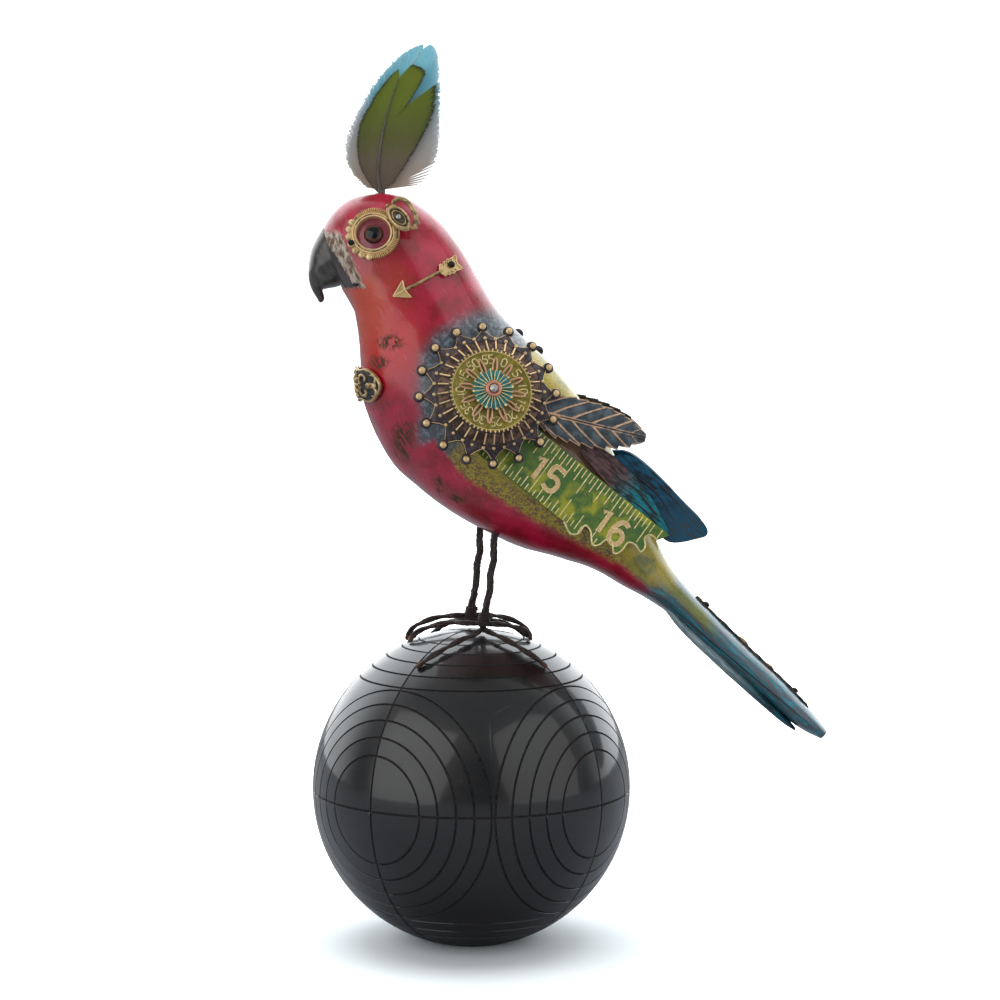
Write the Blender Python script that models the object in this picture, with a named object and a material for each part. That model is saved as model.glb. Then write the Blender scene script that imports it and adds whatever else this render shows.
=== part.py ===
# Crested bird figure on a grooved ball: a carved and painted bird, with metal findings nailed to it.
# Lengths below are in millimetres and become metres when a mesh is made.
# +Z is up, the bird looks along -X, its left side is at -Y, and the origin is the centre of the ball's foot.

from math import asin, cos, pi, sin, sqrt

import bmesh
import bpy
from mathutils import Matrix, Vector
from mathutils.bvhtree import BVHTree
from mathutils.geometry import tessellate_polygon

METRES = 0.001
GAP = 0.3
SIDES = {"left": -1, "right": 1}

BALL_RADIUS = 53.5
BALL_FOOT_RADIUS = 15.0
BALL_SEGMENTS = 36

# Body sections from the face to the tail tip: point on the back, point on the breast side, half width.
BODY_SECTIONS = [
    ((-48.9, 238.7), (-39.9, 216.4), 8.6),
    ((-47.4, 241.4), (-38.9, 213.3), 10.6),
    ((-44.6, 244.9), (-38.4, 210.6), 13.0),
    ((-39.8, 248.4), (-38.0, 208.0), 15.0),
    ((-33.0, 250.2), (-37.6, 205.2), 16.6),
    ((-25.5, 250.1), (-37.3, 202.2), 17.4),
    ((-17.5, 246.6), (-37.0, 198.5), 17.8),
    ((-9.5, 240.0), (-36.8, 194.0), 18.2),
    ((-2.5, 230.8), (-36.8, 188.5), 18.8),
    ((3.5, 220.0), (-36.0, 182.0), 20.0),
    ((9.5, 210.8), (-34.0, 176.0), 21.2),
    ((17.5, 202.6), (-31.0, 169.0), 22.3),
    ((26.0, 194.3), (-26.0, 160.5), 22.2),
    ((34.0, 185.2), (-18.5, 153.5), 21.6),
    ((41.5, 174.5), (-9.0, 146.0), 20.8),
    ((48.0, 163.3), (2.5, 139.3), 20.0),
    ((53.7, 152.0), (15.0, 133.2), 17.4),
    ((58.5, 142.0), (29.0, 129.2), 14.8),
    ((62.5, 133.6), (41.0, 125.2), 12.6),
    ((66.6, 126.0), (52.0, 118.9), 11.2),
    ((71.0, 120.3), (60.5, 114.2), 10.4),
    ((77.0, 114.0), (68.2, 108.6), 9.8),
    ((90.0, 101.2), (82.0, 95.9), 9.3),
    ((105.0, 87.0), (98.0, 81.6), 8.6),
    ((115.0, 76.3), (109.5, 71.9), 7.4),
    ((119.6, 70.8), (117.2, 67.9), 4.6),
]
BODY_SIDES = 20

BEAK_UPPER_SECTIONS = [
    ((-49.6, 238.2), (-42.0, 220.2), 8.0),
    ((-51.4, 235.0), (-43.4, 219.8), 7.4),
    ((-53.0, 231.5), (-45.0, 219.3), 6.5),
    ((-53.9, 227.0), (-46.8, 219.0), 5.3),
    ((-54.0, 223.5), (-48.3, 218.7), 4.1),
    ((-53.5, 220.3), (-49.2, 218.4), 2.9),
    ((-52.4, 217.6), (-48.9, 217.0), 1.9),
    ((-50.9, 215.5), (-48.9, 215.7), 1.1),
    ((-49.9, 214.3), (-49.3, 214.5), 0.5),
]
BEAK_LOWER_SECTIONS = [
    ((-41.8, 219.3), (-40.6, 216.6), 5.6),
    ((-43.8, 218.7), (-43.0, 216.6), 4.8),
    ((-45.8, 218.3), (-45.6, 217.2), 3.2),
    ((-47.4, 217.9), (-47.3, 217.6), 1.4),
]
TAIL_UNDER_SECTIONS = [
    ((65.6, 109.5), (64.9, 108.7), 7.0),
    ((73.0, 103.1), (71.7, 101.8), 8.2),
    ((90.0, 87.9), (88.7, 86.5), 7.8),
    ((103.6, 75.6), (102.5, 74.3), 6.6),
    ((108.8, 71.9), (108.0, 71.0), 3.6),
]

# Findings on the head and neck, placed by their X and Z on the flank.
EYE_AT = (-31.6, 236.8)
EYE_RADIUS = 4.8
EYE_RING = {"inner": 5.5, "outer": 8.2, "height": 1.8, "segments": 28}
EYE_RING_NAIL_AT = (-38.6, 232.9)
CHARM_AT = (-24.1, 240.2)
CHARM_LENGTH, CHARM_WIDTH, CHARM_THICK, CHARM_LEAN, CHARM_LIFT = 9.6, 6.2, 1.6, 0.98, 3.1
ARROW_TIP, ARROW_NAIL_AT, ARROW_END = (-25.0, 216.6), (-7.0, 226.4), (-4.2, 227.4)
ARROW_THICK = 1.0
PLAQUE_Z, PLAQUE_HEIGHT, PLAQUE_THICK, PLAQUE_CORE_X = 187.2, 12.0, 1.1, -18.0
PLAQUE_COLUMNS = [
    (-0.98, 0.50), (-0.90, 0.85), (-0.66, 1.0), (-0.42, 1.0), (-0.20, 1.0), (0.0, 1.0),
    (0.20, 1.0), (0.42, 1.0), (0.66, 1.0), (0.90, 0.85), (0.98, 0.50),
]
PLAQUE_NAIL_HEADING = 0.84

# The rosette turns on one nail. Its axis leans back and up with the flank.
ROSETTE_AT = (6.9, -30.2, 186.4)
ROSETTE_AXIS = (0.226, -0.930, 0.291)
STAR = {"points": 16, "flat": 13.9, "valley": 18.6, "ball_ring": 22.6, "ball": 1.5, "drop": 5.5, "thick": 0.9}
DIAL_RADIUS, DIAL_THICK = 13.6, 0.5
PETALS, PETAL_RING_RADIUS, PETAL_THICK = 12, 10.3, 0.7
FLOWER_PETALS, FLOWER_RADIUS, FLOWER_THICK = 12, 6.7, 0.9
EYELET_RADIUS, EYELET_THICK = 2.75, 0.8
ROSETTE_NAIL = {"head": 1.45, "shaft": 0.7, "length": 15.0}
PIVOT_HOLE = 1.0

# The rule's own axes: along it towards the tail, across it towards the back; its corner is at the belly edge.
RULE_CORNER = (2.4, -27.3, 166.1)
RULE_ALONG, RULE_ACROSS = (0.772, 0.090, -0.629), (0.600, 0.309, 0.737)
RULE_WIDTH, RULE_THICK = 19.05, 0.7
RULE_CUT = [
    (36.2, 0.2), (40.2, -1.6), (42.4, 0.2), (42.6, 3.6), (45.4, 3.2), (48.3, 0.2), (50.2, 1.6),
    (51.2, 4.6), (53.6, 4.6), (55.9, 2.4), (57.4, 4.8), (57.6, 8.2), (60.0, 9.2), (62.7, 8.5),
    (63.0, 10.8), (61.1, 13.2), (62.4, 15.2), (65.0, 15.0),
]
WING_SHORT = [
    (33.0, 22.0), (34.5, 25.6), (39.2, 27.4), (46.0, 27.2), (53.0, 26.0), (60.0, 23.4), (67.0, 19.6),
    (65.0, 17.2), (55.0, 17.0), (44.0, 19.0),
]
WING_LONG = [
    (36.0, 28.0), (41.0, 32.2), (47.4, 33.3), (57.4, 32.6), (66.0, 31.4), (73.7, 30.2), (76.2, 28.4),
    (74.8, 24.4), (68.6, 18.0), (60.0, 19.5), (48.0, 23.0), (40.0, 24.5),
]
WING_SHORT_DEPTH, WING_SHORT_THICK = 1.0, 1.0
WING_LONG_DEPTH, WING_LONG_THICK = 2.4, 1.8

# The leaf's rib runs from its base to its tip; half widths are given along it.
LEAF_BASE, LEAF_TIP = (21.5, -19.6, 179.2), (57.4, -15.6, 170.2)
LEAF_HALF_WIDTHS = [2.6, 6.4, 7.7, 8.0, 7.9, 7.2, 5.8, 3.4, 0.6]
LEAF_THICK = 0.7

TAIL_STRIP = [(75.6, 115.9), (80.5, 111.0), (90.2, 101.5), (97.5, 94.6), (105.2, 87.3), (113.5, 78.4)]
TAIL_STRIP_HALF_WIDTH, TAIL_STRIP_THICK = 2.0, 0.8
TAIL_NAILS_AT = [(78.6, 112.9), (108.6, 83.8)]

LEG_WIRE, TOE_WIRE = 1.25, 0.95
LEGS = {"left": ((8.2, -7.0, 139.5), (3.6, -7.0, 101.0)), "right": ((3.3, 7.0, 141.0), (-0.9, 7.0, 101.0))}
LEG_IN_BODY, LEG_IN_BALL = 6.0, 4.0
ANKLE = {"wall": 0.8, "height": 3.2, "share": 0.27}
TOES = {  # each strand: where two claws meet the ball, seen from above, with each toe's arch
    "left": [
        (((-16.5, -27.5), 0.8), ((19.5, -2.6), 2.4)),
        (((-20.3, -3.2), 2.4), ((24.0, -21.5), 0.8)),
    ],
    "right": [
        (((-21.4, 5.6), 3.4), ((19.5, 20.0), 2.0)),
        (((-14.0, 24.0), 2.0), ((19.6, 4.4), 3.4)),
    ],
}

CREST_AT = (-29.8, 0.0, 249.4)
CREST_SOCKET_RADIUS, CREST_SOCKET_DEPTH = 2.4, 6.5
PALE_FEATHER = [
    (-30.6, 251.5), (-35.0, 253.0), (-39.8, 258.0), (-41.5, 264.5), (-39.9, 271.5), (-36.6, 278.2),
    (-33.0, 284.5), (-27.6, 291.4), (-21.7, 296.6), (-16.5, 299.0), (-13.0, 299.3), (-11.0, 295.0),
    (-10.5, 287.0), (-10.5, 276.0), (-11.0, 264.5), (-13.6, 257.0), (-18.5, 252.9), (-25.0, 251.6), (-28.8, 251.5),
]
GREEN_FEATHER = [
    (-30.4, 251.2), (-33.5, 254.0), (-36.6, 259.0), (-37.6, 266.0), (-36.4, 273.5), (-33.0, 280.0),
    (-29.9, 284.6), (-25.6, 289.4), (-20.6, 292.4), (-15.2, 290.2), (-17.6, 284.5), (-21.4, 278.6),
    (-15.2, 285.6), (-11.8, 288.6), (-11.4, 283.0), (-13.0, 275.5), (-16.8, 267.5), (-21.6, 259.6), (-28.8, 251.2),
]
QUILL_HALF_WIDTH, QUILL_DEPTH, VANE_THICK = 0.7, 5.6, 0.5
PALE_VANE_Y, GREEN_VANE_Y = 0.5, -1.1

FINISHES = {  # colour, roughness, metallic
    "black_ball": ((0.012, 0.012, 0.014), 0.22, 0.0),
    "painted_wood": ((0.42, 0.015, 0.045), 0.30, 0.0),
    "horn": ((0.045, 0.036, 0.032), 0.30, 0.0),
    "glass_eye": ((0.10, 0.035, 0.015), 0.05, 0.0),
    "brass": ((0.62, 0.42, 0.16), 0.35, 1.0),
    "aged_brass": ((0.16, 0.11, 0.07), 0.45, 1.0),
    "olive_brass": ((0.33, 0.29, 0.06), 0.45, 0.6),
    "copper": ((0.62, 0.32, 0.20), 0.30, 1.0),
    "verdigris": ((0.05, 0.30, 0.28), 0.55, 0.3),
    "steel": ((0.62, 0.62, 0.62), 0.30, 1.0),
    "black_nail": ((0.03, 0.028, 0.026), 0.40, 0.8),
    "slate_copper": ((0.09, 0.13, 0.17), 0.45, 0.7),
    "green_rule": ((0.10, 0.20, 0.05), 0.50, 0.3),
    "blue_wood": ((0.01, 0.11, 0.17), 0.45, 0.0),
    "dark_wire": ((0.028, 0.020, 0.018), 0.50, 0.5),
    "pale_feather": ((0.55, 0.66, 0.74), 0.60, 0.0),
    "green_feather": ((0.12, 0.20, 0.03), 0.60, 0.0),
}


def clear_scene():
    for old in list(bpy.data.objects):
        bpy.data.objects.remove(old)


def finish_material(finish):
    material = bpy.data.materials.get(finish)
    if material is None:
        colour, roughness, metallic = FINISHES[finish]
        material = bpy.data.materials.new(finish)
        material.use_nodes = True
        shader = material.node_tree.nodes["Principled BSDF"]
        shader.inputs["Base Color"].default_value = (*colour, 1.0)
        shader.inputs["Roughness"].default_value = roughness
        shader.inputs["Metallic"].default_value = metallic
    return material


def add_piece(name, bm, finish, origin=(0.0, 0.0, 0.0), smooth=True):
    """Makes an object from a mesh in millimetres, with its origin at the given point."""
    bmesh.ops.remove_doubles(bm, verts=bm.verts, dist=0.001)
    bmesh.ops.recalc_face_normals(bm, faces=bm.faces)
    bmesh.ops.translate(bm, verts=bm.verts, vec=-Vector(origin))
    bmesh.ops.scale(bm, verts=bm.verts, vec=(METRES,) * 3)
    mesh = bpy.data.meshes.new(name)
    bm.to_mesh(mesh)
    bm.free()
    if smooth:
        mesh.shade_smooth()
        mesh.set_sharp_from_angle(angle=pi / 5)
    mesh.materials.append(finish_material(finish))
    piece = bpy.data.objects.new(name, mesh)
    piece.location = Vector(origin) * METRES
    bpy.context.scene.collection.objects.link(piece)
    return piece


def cut(piece, cutter, solver="EXACT"):
    hole = piece.modifiers.new(cutter.name, "BOOLEAN")
    hole.operation = "DIFFERENCE"
    hole.solver = solver
    hole.object = cutter
    return hole


def add_cutter(name, bm):
    cutter = add_piece(name, bm, "steel", smooth=False)
    cutter.hide_render = True
    cutter.display_type = "WIRE"
    return cutter


def loft(rings):
    """Joins closed rings of points, and closes both ends."""
    bm = bmesh.new()
    loops = [[bm.verts.new(point) for point in ring] for ring in rings]
    for first, second in zip(loops, loops[1:]):
        for i in range(len(first)):
            j = (i + 1) % len(first)
            bm.faces.new((first[i], first[j], second[j], second[i]))
    bm.faces.new(loops[0][::-1])
    bm.faces.new(loops[-1])
    return bm


def section_ring(back, breast, half_width, sides):
    back, breast = Vector((back[0], 0.0, back[1])), Vector((breast[0], 0.0, breast[1]))
    middle, half = (back + breast) / 2, (back - breast) / 2
    turns = [2 * pi * (k + 0.5) / sides for k in range(sides)]
    return [middle + half * sin(turn) + Vector((0.0, half_width * cos(turn), 0.0)) for turn in turns]


def loft_sections(sections, sides):
    return loft([section_ring(*section, sides) for section in sections])


def frame_along(direction, at):
    """A matrix that takes local Z to the direction and the local origin to the point."""
    turn = Vector(direction).normalized().to_track_quat("Z", "Y").to_matrix().to_4x4()
    return Matrix.Translation(Vector(at)) @ turn


def turned(profile, segments, frame):
    """Spins a closed profile of (radius, height) points; a radius of 0 stays a single point."""
    bm = bmesh.new()
    loops = []
    for radius, height in profile:
        count = segments if radius > 0 else 1
        turns = [2 * pi * k / segments for k in range(count)]
        ring = [frame @ Vector((radius * cos(turn), radius * sin(turn), height)) for turn in turns]
        loops.append([bm.verts.new(point) for point in ring])
    closed = loops + ([loops[0]] if profile[0][0] > 0 else [])
    for first, second in zip(closed, closed[1:]):
        for i in range(segments):
            j = (i + 1) % segments
            corners = [first[i % len(first)], first[j % len(first)], second[j % len(second)], second[i % len(second)]]
            bm.faces.new(list(dict.fromkeys(corners)))
    return bm


def layered_disc(rings, thick, frame):
    """A plate from concentric rings of (radius, angle, height) points, all with the same count."""
    bm = bmesh.new()
    levels = []
    for lift in (0.0, thick):
        points = [[frame @ Vector((r * cos(a), r * sin(a), h + lift)) for r, a, h in ring] for ring in rings]
        levels.append([[bm.verts.new(point) for point in ring] for ring in points])
    below, above = levels
    count = len(rings[0])
    for level in levels:
        for inner, outer in zip(level, level[1:]):
            for i in range(count):
                j = (i + 1) % count
                bm.faces.new((inner[i], inner[j], outer[j], outer[i]))
    for edge in (0, -1):
        for i in range(count):
            j = (i + 1) % count
            bm.faces.new((below[edge][i], below[edge][j], above[edge][j], above[edge][i]))
    return bm


def sheet(rows, thick_vector):
    """A thin solid from a grid of points, thickened by a vector or by one vector for each row."""
    bm = bmesh.new()
    vectors = thick_vector if isinstance(thick_vector, list) else [thick_vector] * len(rows)
    inner = [[bm.verts.new(point) for point in row] for row in rows]
    outer = [[bm.verts.new(p + vector) for p in row] for row, vector in zip(rows, vectors)]
    for grid in (inner, outer):
        for first, second in zip(grid, grid[1:]):
            for i in range(len(first) - 1):
                bm.faces.new((first[i], first[i + 1], second[i + 1], second[i]))
    last = len(rows[0]) - 1
    for r in range(len(rows) - 1):
        for c in (0, last):
            bm.faces.new((inner[r][c], inner[r + 1][c], outer[r + 1][c], outer[r][c]))
    for r in (0, len(rows) - 1):
        for c in range(last):
            bm.faces.new((inner[r][c], inner[r][c + 1], outer[r][c + 1], outer[r][c]))
    return bm


def flat_plate(outline, place, thick_vector):
    """A plate from a flat outline; place turns each outline point into a point in space."""
    bm = bmesh.new()
    low = [place(point) for point in outline]
    triangles = tessellate_polygon([[Vector((a, b, 0.0)) for a, b in outline]])
    base = [bm.verts.new(point) for point in low]
    top = [bm.verts.new(point + thick_vector) for point in low]
    for triangle in triangles:
        bm.faces.new([base[i] for i in triangle])
        bm.faces.new([top[i] for i in triangle])
    for i in range(len(outline)):
        j = (i + 1) % len(outline)
        bm.faces.new((base[i], base[j], top[j], top[i]))
    return bm


def tube(path, radius, sides):
    """A wire of one radius along a path, with its section carried along without twisting."""
    rings = []
    across = None
    for i, point in enumerate(path):
        ahead = (path[min(i + 1, len(path) - 1)] - path[max(i - 1, 0)]).normalized()
        if across is None:
            across = ahead.orthogonal().normalized()
        across = (across - ahead * across.dot(ahead)).normalized()
        up = ahead.cross(across)
        turns = [2 * pi * k / sides for k in range(sides)]
        rings.append([point + (across * cos(t) + up * sin(t)) * radius for t in turns])
    return loft(rings)


def smooth_path(points, steps):
    """A Catmull-Rom curve through the points."""
    ends = [2 * points[0] - points[1]] + points + [2 * points[-1] - points[-2]]
    path = []
    for a, b, c, d in zip(ends, ends[1:], ends[2:], ends[3:]):
        for k in range(steps):
            t = k / steps
            path.append(0.5 * (2 * b + (c - a) * t + (2 * a - 5 * b + 4 * c - d) * t**2
                               + (3 * b - a - 3 * c + d) * t**3))
    return path + [points[-1]]


class Flank:
    """Finds points on the body's surface seen from one side."""

    def __init__(self, bm):
        bm.normal_update()
        self.tree = BVHTree.FromBMesh(bm)

    def at(self, x, z, side):
        start = Vector((x, SIDES[side] * 80.0, z))
        point, normal = self.tree.ray_cast(start, Vector((0.0, -SIDES[side], 0.0)))[:2]
        return point, normal if normal.y * SIDES[side] > 0 else -normal

    def toward(self, core, outward):
        """The surface point that lies outwards from a point inside the body."""
        return self.tree.ray_cast(core + outward * 80.0, -outward)[:2]

    def frame(self, x, z, side, spread=3.0):
        """A frame whose Z leaves the surface, with the normal averaged over a small spread."""
        steps = [(0.0, 0.0), (spread, 0.0), (-spread, 0.0), (0.0, spread), (0.0, -spread)]
        normal = sum((self.at(x + dx, z + dz, side)[1] for dx, dz in steps), Vector())
        return frame_along(normal, self.at(x, z, side)[0])


def pin(name, frame, head, shaft, length, pierced, finish, solver="EXACT"):
    """A round-headed nail whose head sits on the frame's plane, with its hole through the pierced pieces."""
    profile = [(0.0, -length), (shaft * 0.5, -length), (shaft, -length + 1.2), (shaft, 0.0), (head, 0.0),
               (head, head * 0.35), (head * 0.6, head * 0.75), (0.0, head * 0.85)]
    nail = add_piece(name, turned(profile, 10, frame), finish)
    hole = [(0.0, -length - GAP), (shaft + GAP, -length - GAP), (shaft + GAP, 0.5), (0.0, 0.5)]
    cutter = add_cutter(name + "_hole", turned(hole, 8, frame))
    for piece in pierced:
        cut(piece, cutter, solver)
    return nail


def build_ball():
    rise = sqrt(BALL_RADIUS**2 - BALL_FOOT_RADIUS**2)
    foot_turn = asin(BALL_FOOT_RADIUS / BALL_RADIUS)
    rows = BALL_SEGMENTS // 2
    profile = [(0.0, 0.0), (BALL_FOOT_RADIUS, 0.0)]
    for k in range(1, rows):
        turn = foot_turn + (pi - foot_turn) * k / rows
        profile.append((BALL_RADIUS * sin(turn), rise - BALL_RADIUS * cos(turn)))
    profile.append((0.0, rise + BALL_RADIUS))
    return add_piece("ball", turned(profile, BALL_SEGMENTS, Matrix()), "black_ball")


def build_body():
    bm = loft_sections(BODY_SECTIONS, BODY_SIDES)
    flank = Flank(bm)
    body = add_piece("body", bm, "painted_wood")
    socket_top = CREST_AT[2] + 3.0
    socket = [(0.0, CREST_AT[2] - CREST_SOCKET_DEPTH), (CREST_SOCKET_RADIUS, CREST_AT[2] - CREST_SOCKET_DEPTH),
              (CREST_SOCKET_RADIUS, socket_top), (0.0, socket_top)]
    frame = Matrix.Translation((CREST_AT[0], 0.0, 0.0))
    cut(body, add_cutter("crest_socket", turned(socket, 12, frame)))
    return body, flank


def build_beak():
    add_piece("beak_upper", loft_sections(BEAK_UPPER_SECTIONS, 14), "horn")
    add_piece("beak_lower", loft_sections(BEAK_LOWER_SECTIONS, 12), "horn")


def build_eye(side, body, flank):
    frame = flank.frame(*EYE_AT, side, spread=5.0)
    sunk = EYE_RADIUS * 0.45
    centre = frame @ Vector((0.0, 0.0, -sunk))
    levels = [pi * k / 10 for k in range(11)]
    bead = [(EYE_RADIUS * sin(a) if 0 < k < 10 else 0.0, -EYE_RADIUS * cos(a)) for k, a in enumerate(levels)]
    seat = [(r * (1 + GAP / EYE_RADIUS), h * (1 + GAP / EYE_RADIUS)) for r, h in bead]
    bead_frame = Matrix.Translation(centre) @ frame.to_3x3().to_4x4()
    add_piece(side + "_eye", turned(bead, 16, bead_frame), "glass_eye")
    cut(body, add_cutter(side + "_eye_seat", turned(seat, 16, bead_frame)))
    inner, outer, height = EYE_RING["inner"], EYE_RING["outer"], EYE_RING["height"]
    middle = (inner + outer) / 2
    profile = [(inner, 0.0), (outer, 0.0), (outer, height * 0.45), (middle, height), (inner, height * 0.7)]
    ring_frame = frame @ Matrix.Translation((0.0, 0.0, 0.2))
    ring = add_piece(side + "_eye_ring", turned(profile, EYE_RING["segments"], ring_frame), "brass")
    nail_frame = ring_frame.copy()
    nail_frame.translation = above_ring(ring_frame, EYE_RING_NAIL_AT, height + 0.2)
    pin(side + "_eye_ring_nail", nail_frame, 0.9, 0.45, 6.5, [body, ring], "black_nail")


def above_ring(frame, at, lift):
    """The point of the ring's lifted plane that lies straight in front of a place on the flank."""
    normal = frame.to_3x3() @ Vector((0.0, 0.0, 1.0))
    base = frame.translation + normal * lift
    y = base.y - ((at[0] - base.x) * normal.x + (at[1] - base.z) * normal.z) / normal.y
    return Vector((at[0], y, at[1]))


def build_charm(side, body, flank):
    frame = flank.frame(*CHARM_AT, side, spread=4.0)
    normal = frame.to_3x3() @ Vector((0.0, 0.0, 1.0))
    lean = Vector((cos(CHARM_LEAN), 0.0, -sin(CHARM_LEAN)))
    along = (lean - normal * lean.dot(normal)).normalized()
    across = normal.cross(along)
    base = frame.translation + normal * CHARM_LIFT
    outline = []
    for k in range(20):
        turn = 2 * pi * k / 20
        width = CHARM_WIDTH / 2 * sin(turn) * (1 - 0.35 * cos(turn) ** 2)
        outline.append((CHARM_LENGTH / 2 * cos(turn), width))
    bm = flat_plate(outline, lambda p: base + along * p[0] + across * p[1], normal * CHARM_THICK)
    charm = add_piece(side + "_eye_charm", bm, "aged_brass")
    nail_frame = frame_along(normal, base + normal * (CHARM_THICK + 0.2))
    pin(side + "_eye_charm_nail", nail_frame, 1.0, 0.45, 8.0, [body, charm], "steel")


def build_arrow(side, body, flank):
    tip, end = Vector(ARROW_TIP), Vector(ARROW_END)
    along = (end - tip).normalized()
    across = Vector((-along.y, along.x))
    length = (end - tip).length
    stations = [(0.0, 0.15), (1.5, 1.1), (3.0, 2.2), (4.6, 3.0), (4.9, 0.8), (8.5, 0.75), (12.0, 0.75),
                (15.2, 0.75), (15.6, 1.7), (18.6, 2.1), (length, 2.2)]
    rows, vectors = [], []
    for distance, half in stations:
        middle = tip + along * distance
        normal = flank.at(middle.x, middle.y, side)[1]
        row = []
        for offset in (-half, 0.0, half):
            place = middle + across * offset
            hit = flank.at(place.x, place.y, side)[0]
            row.append(hit + normal * 0.7)
        rows.append(row)
        vectors.append(normal * ARROW_THICK)
    arrow = add_piece(side + "_arrow", sheet(rows, vectors), "aged_brass")
    frame = flank.frame(*ARROW_NAIL_AT, side)
    nail_frame = frame @ Matrix.Translation((0.0, 0.0, 0.7 + ARROW_THICK + 0.4))
    # The exact solver loses the whole body at this hole.
    pin(side + "_arrow_nail", nail_frame, 1.3, 0.5, 6.5, [body, arrow], "black_nail", solver="MANIFOLD")


def build_plaque(body, flank):
    """A plate bent round the breast from one flank to the other, with narrower rounded ends."""
    half = PLAQUE_HEIGHT / 2
    rows, vectors = [], []
    for heading, share in PLAQUE_COLUMNS:
        outward = Vector((-cos(heading), sin(heading), 0.0))
        row = []
        for step in (-1.0, -0.33, 0.33, 1.0):
            core = Vector((PLAQUE_CORE_X, 0.0, PLAQUE_Z + half * step * share))
            row.append(flank.toward(core, outward)[0] + outward * 0.8)
        rows.append(row)
        vectors.append(outward * PLAQUE_THICK)
    plaque = add_piece("breast_plaque", sheet(rows, vectors), "aged_brass")
    for side, sign in SIDES.items():
        outward = Vector((-cos(PLAQUE_NAIL_HEADING), sign * sin(PLAQUE_NAIL_HEADING), 0.0))
        hit = flank.toward(Vector((PLAQUE_CORE_X, 0.0, PLAQUE_Z)), outward)[0]
        frame = frame_along(outward, hit + outward * (0.8 + PLAQUE_THICK + 0.4))
        pin("plaque_nail_" + side, frame, 0.9, 0.45, 6.0, [body, plaque], "black_nail")


def star_rings():
    """The star's rings: pivot hole, flat middle, and an outline of points that each end in a ball."""
    points, ball = STAR["points"], STAR["ball"]
    half = pi / points
    outline = []
    for k in range(points):
        turn = 2 * pi * k / points
        spread = ball / STAR["ball_ring"]
        outline += [
            (STAR["valley"], turn - half),
            (STAR["ball_ring"] - 1.1 * ball, turn - 0.55 * spread),
            (STAR["ball_ring"] + 0.6 * ball, turn - 0.8 * spread),
            (STAR["ball_ring"] + 0.6 * ball, turn + 0.8 * spread),
            (STAR["ball_ring"] - 1.1 * ball, turn + 0.55 * spread),
        ]
    slope = STAR["drop"] / (STAR["ball_ring"] - STAR["flat"])
    hole = [(PIVOT_HOLE, angle, 0.0) for _, angle in outline]
    flat = [(STAR["flat"], angle, 0.0) for _, angle in outline]
    edge = [(radius, angle, -slope * (radius - STAR["flat"])) for radius, angle in outline]
    return [hole, flat, edge]


def lobed_rings(petals, radius, notch, steps):
    count = petals * steps
    outline = []
    for k in range(count):
        turn = 2 * pi * k / count
        lobe = abs(sin(petals * turn / 2)) ** 0.6
        outline.append((radius * (notch + (1 - notch) * lobe), turn, 0.0))
    return [[(PIVOT_HOLE, angle, 0.0) for _, angle, _ in outline], outline]


def build_rosette(side, body, flank):
    sign = SIDES[side]
    axis = Vector((ROSETTE_AXIS[0], -sign * ROSETTE_AXIS[1], ROSETTE_AXIS[2])).normalized()
    at = Vector((ROSETTE_AT[0], -sign * ROSETTE_AT[1], ROSETTE_AT[2]))
    frame = frame_along(axis, at)
    layers = []

    def layer(name, bm_maker, thick, finish):
        lift = sum(layers) + GAP * len(layers) - STAR["thick"] - GAP
        layers.append(thick)
        piece_frame = frame @ Matrix.Translation((0.0, 0.0, lift))
        return add_piece(f"{side}_{name}", bm_maker(piece_frame), finish, origin=at)

    layer("starburst", lambda f: layered_disc(star_rings(), STAR["thick"], f), STAR["thick"], "aged_brass")
    round_edge = [[(r, 2 * pi * k / 32, 0.0) for k in range(32)] for r in (PIVOT_HOLE, DIAL_RADIUS)]
    layer("dial", lambda f: layered_disc(round_edge, DIAL_THICK, f), DIAL_THICK, "olive_brass")
    petals = lobed_rings(PETALS, PETAL_RING_RADIUS, 0.62, 4)
    layer("petal_ring", lambda f: layered_disc(petals, PETAL_THICK, f), PETAL_THICK, "copper")
    flower = lobed_rings(FLOWER_PETALS, FLOWER_RADIUS, 0.72, 4)
    layer("flower", lambda f: layered_disc(flower, FLOWER_THICK, f), FLOWER_THICK, "verdigris")
    lip = [(PIVOT_HOLE, 0.0), (EYELET_RADIUS, 0.0), (EYELET_RADIUS * 0.8, EYELET_THICK), (PIVOT_HOLE, EYELET_THICK)]
    layer("eyelet", lambda f: turned(lip, 16, f), EYELET_THICK, "copper")
    lift = sum(layers) + GAP * len(layers) - STAR["thick"] - GAP
    nail_frame = frame @ Matrix.Translation((0.0, 0.0, lift))
    nail = ROSETTE_NAIL
    pin(side + "_rosette_nail", nail_frame, nail["head"], nail["shaft"], nail["length"], [body], "steel")


def rule_place(side):
    """Turns the rule's own (along, across, outwards) lengths into a point on one side of the body."""
    sign = SIDES[side]
    along, across = Vector(RULE_ALONG).normalized(), Vector(RULE_ACROSS)
    across = (across - along * across.dot(along)).normalized()
    outward = along.cross(across)
    outward = outward if outward.y < 0 else -outward
    corner = Vector(RULE_CORNER)

    def place(point, depth=0.0):
        spot = corner + along * point[0] + across * point[1] - outward * depth
        return Vector((spot.x, -sign * spot.y, spot.z))

    return place, Vector((outward.x, -sign * outward.y, outward.z))


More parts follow.
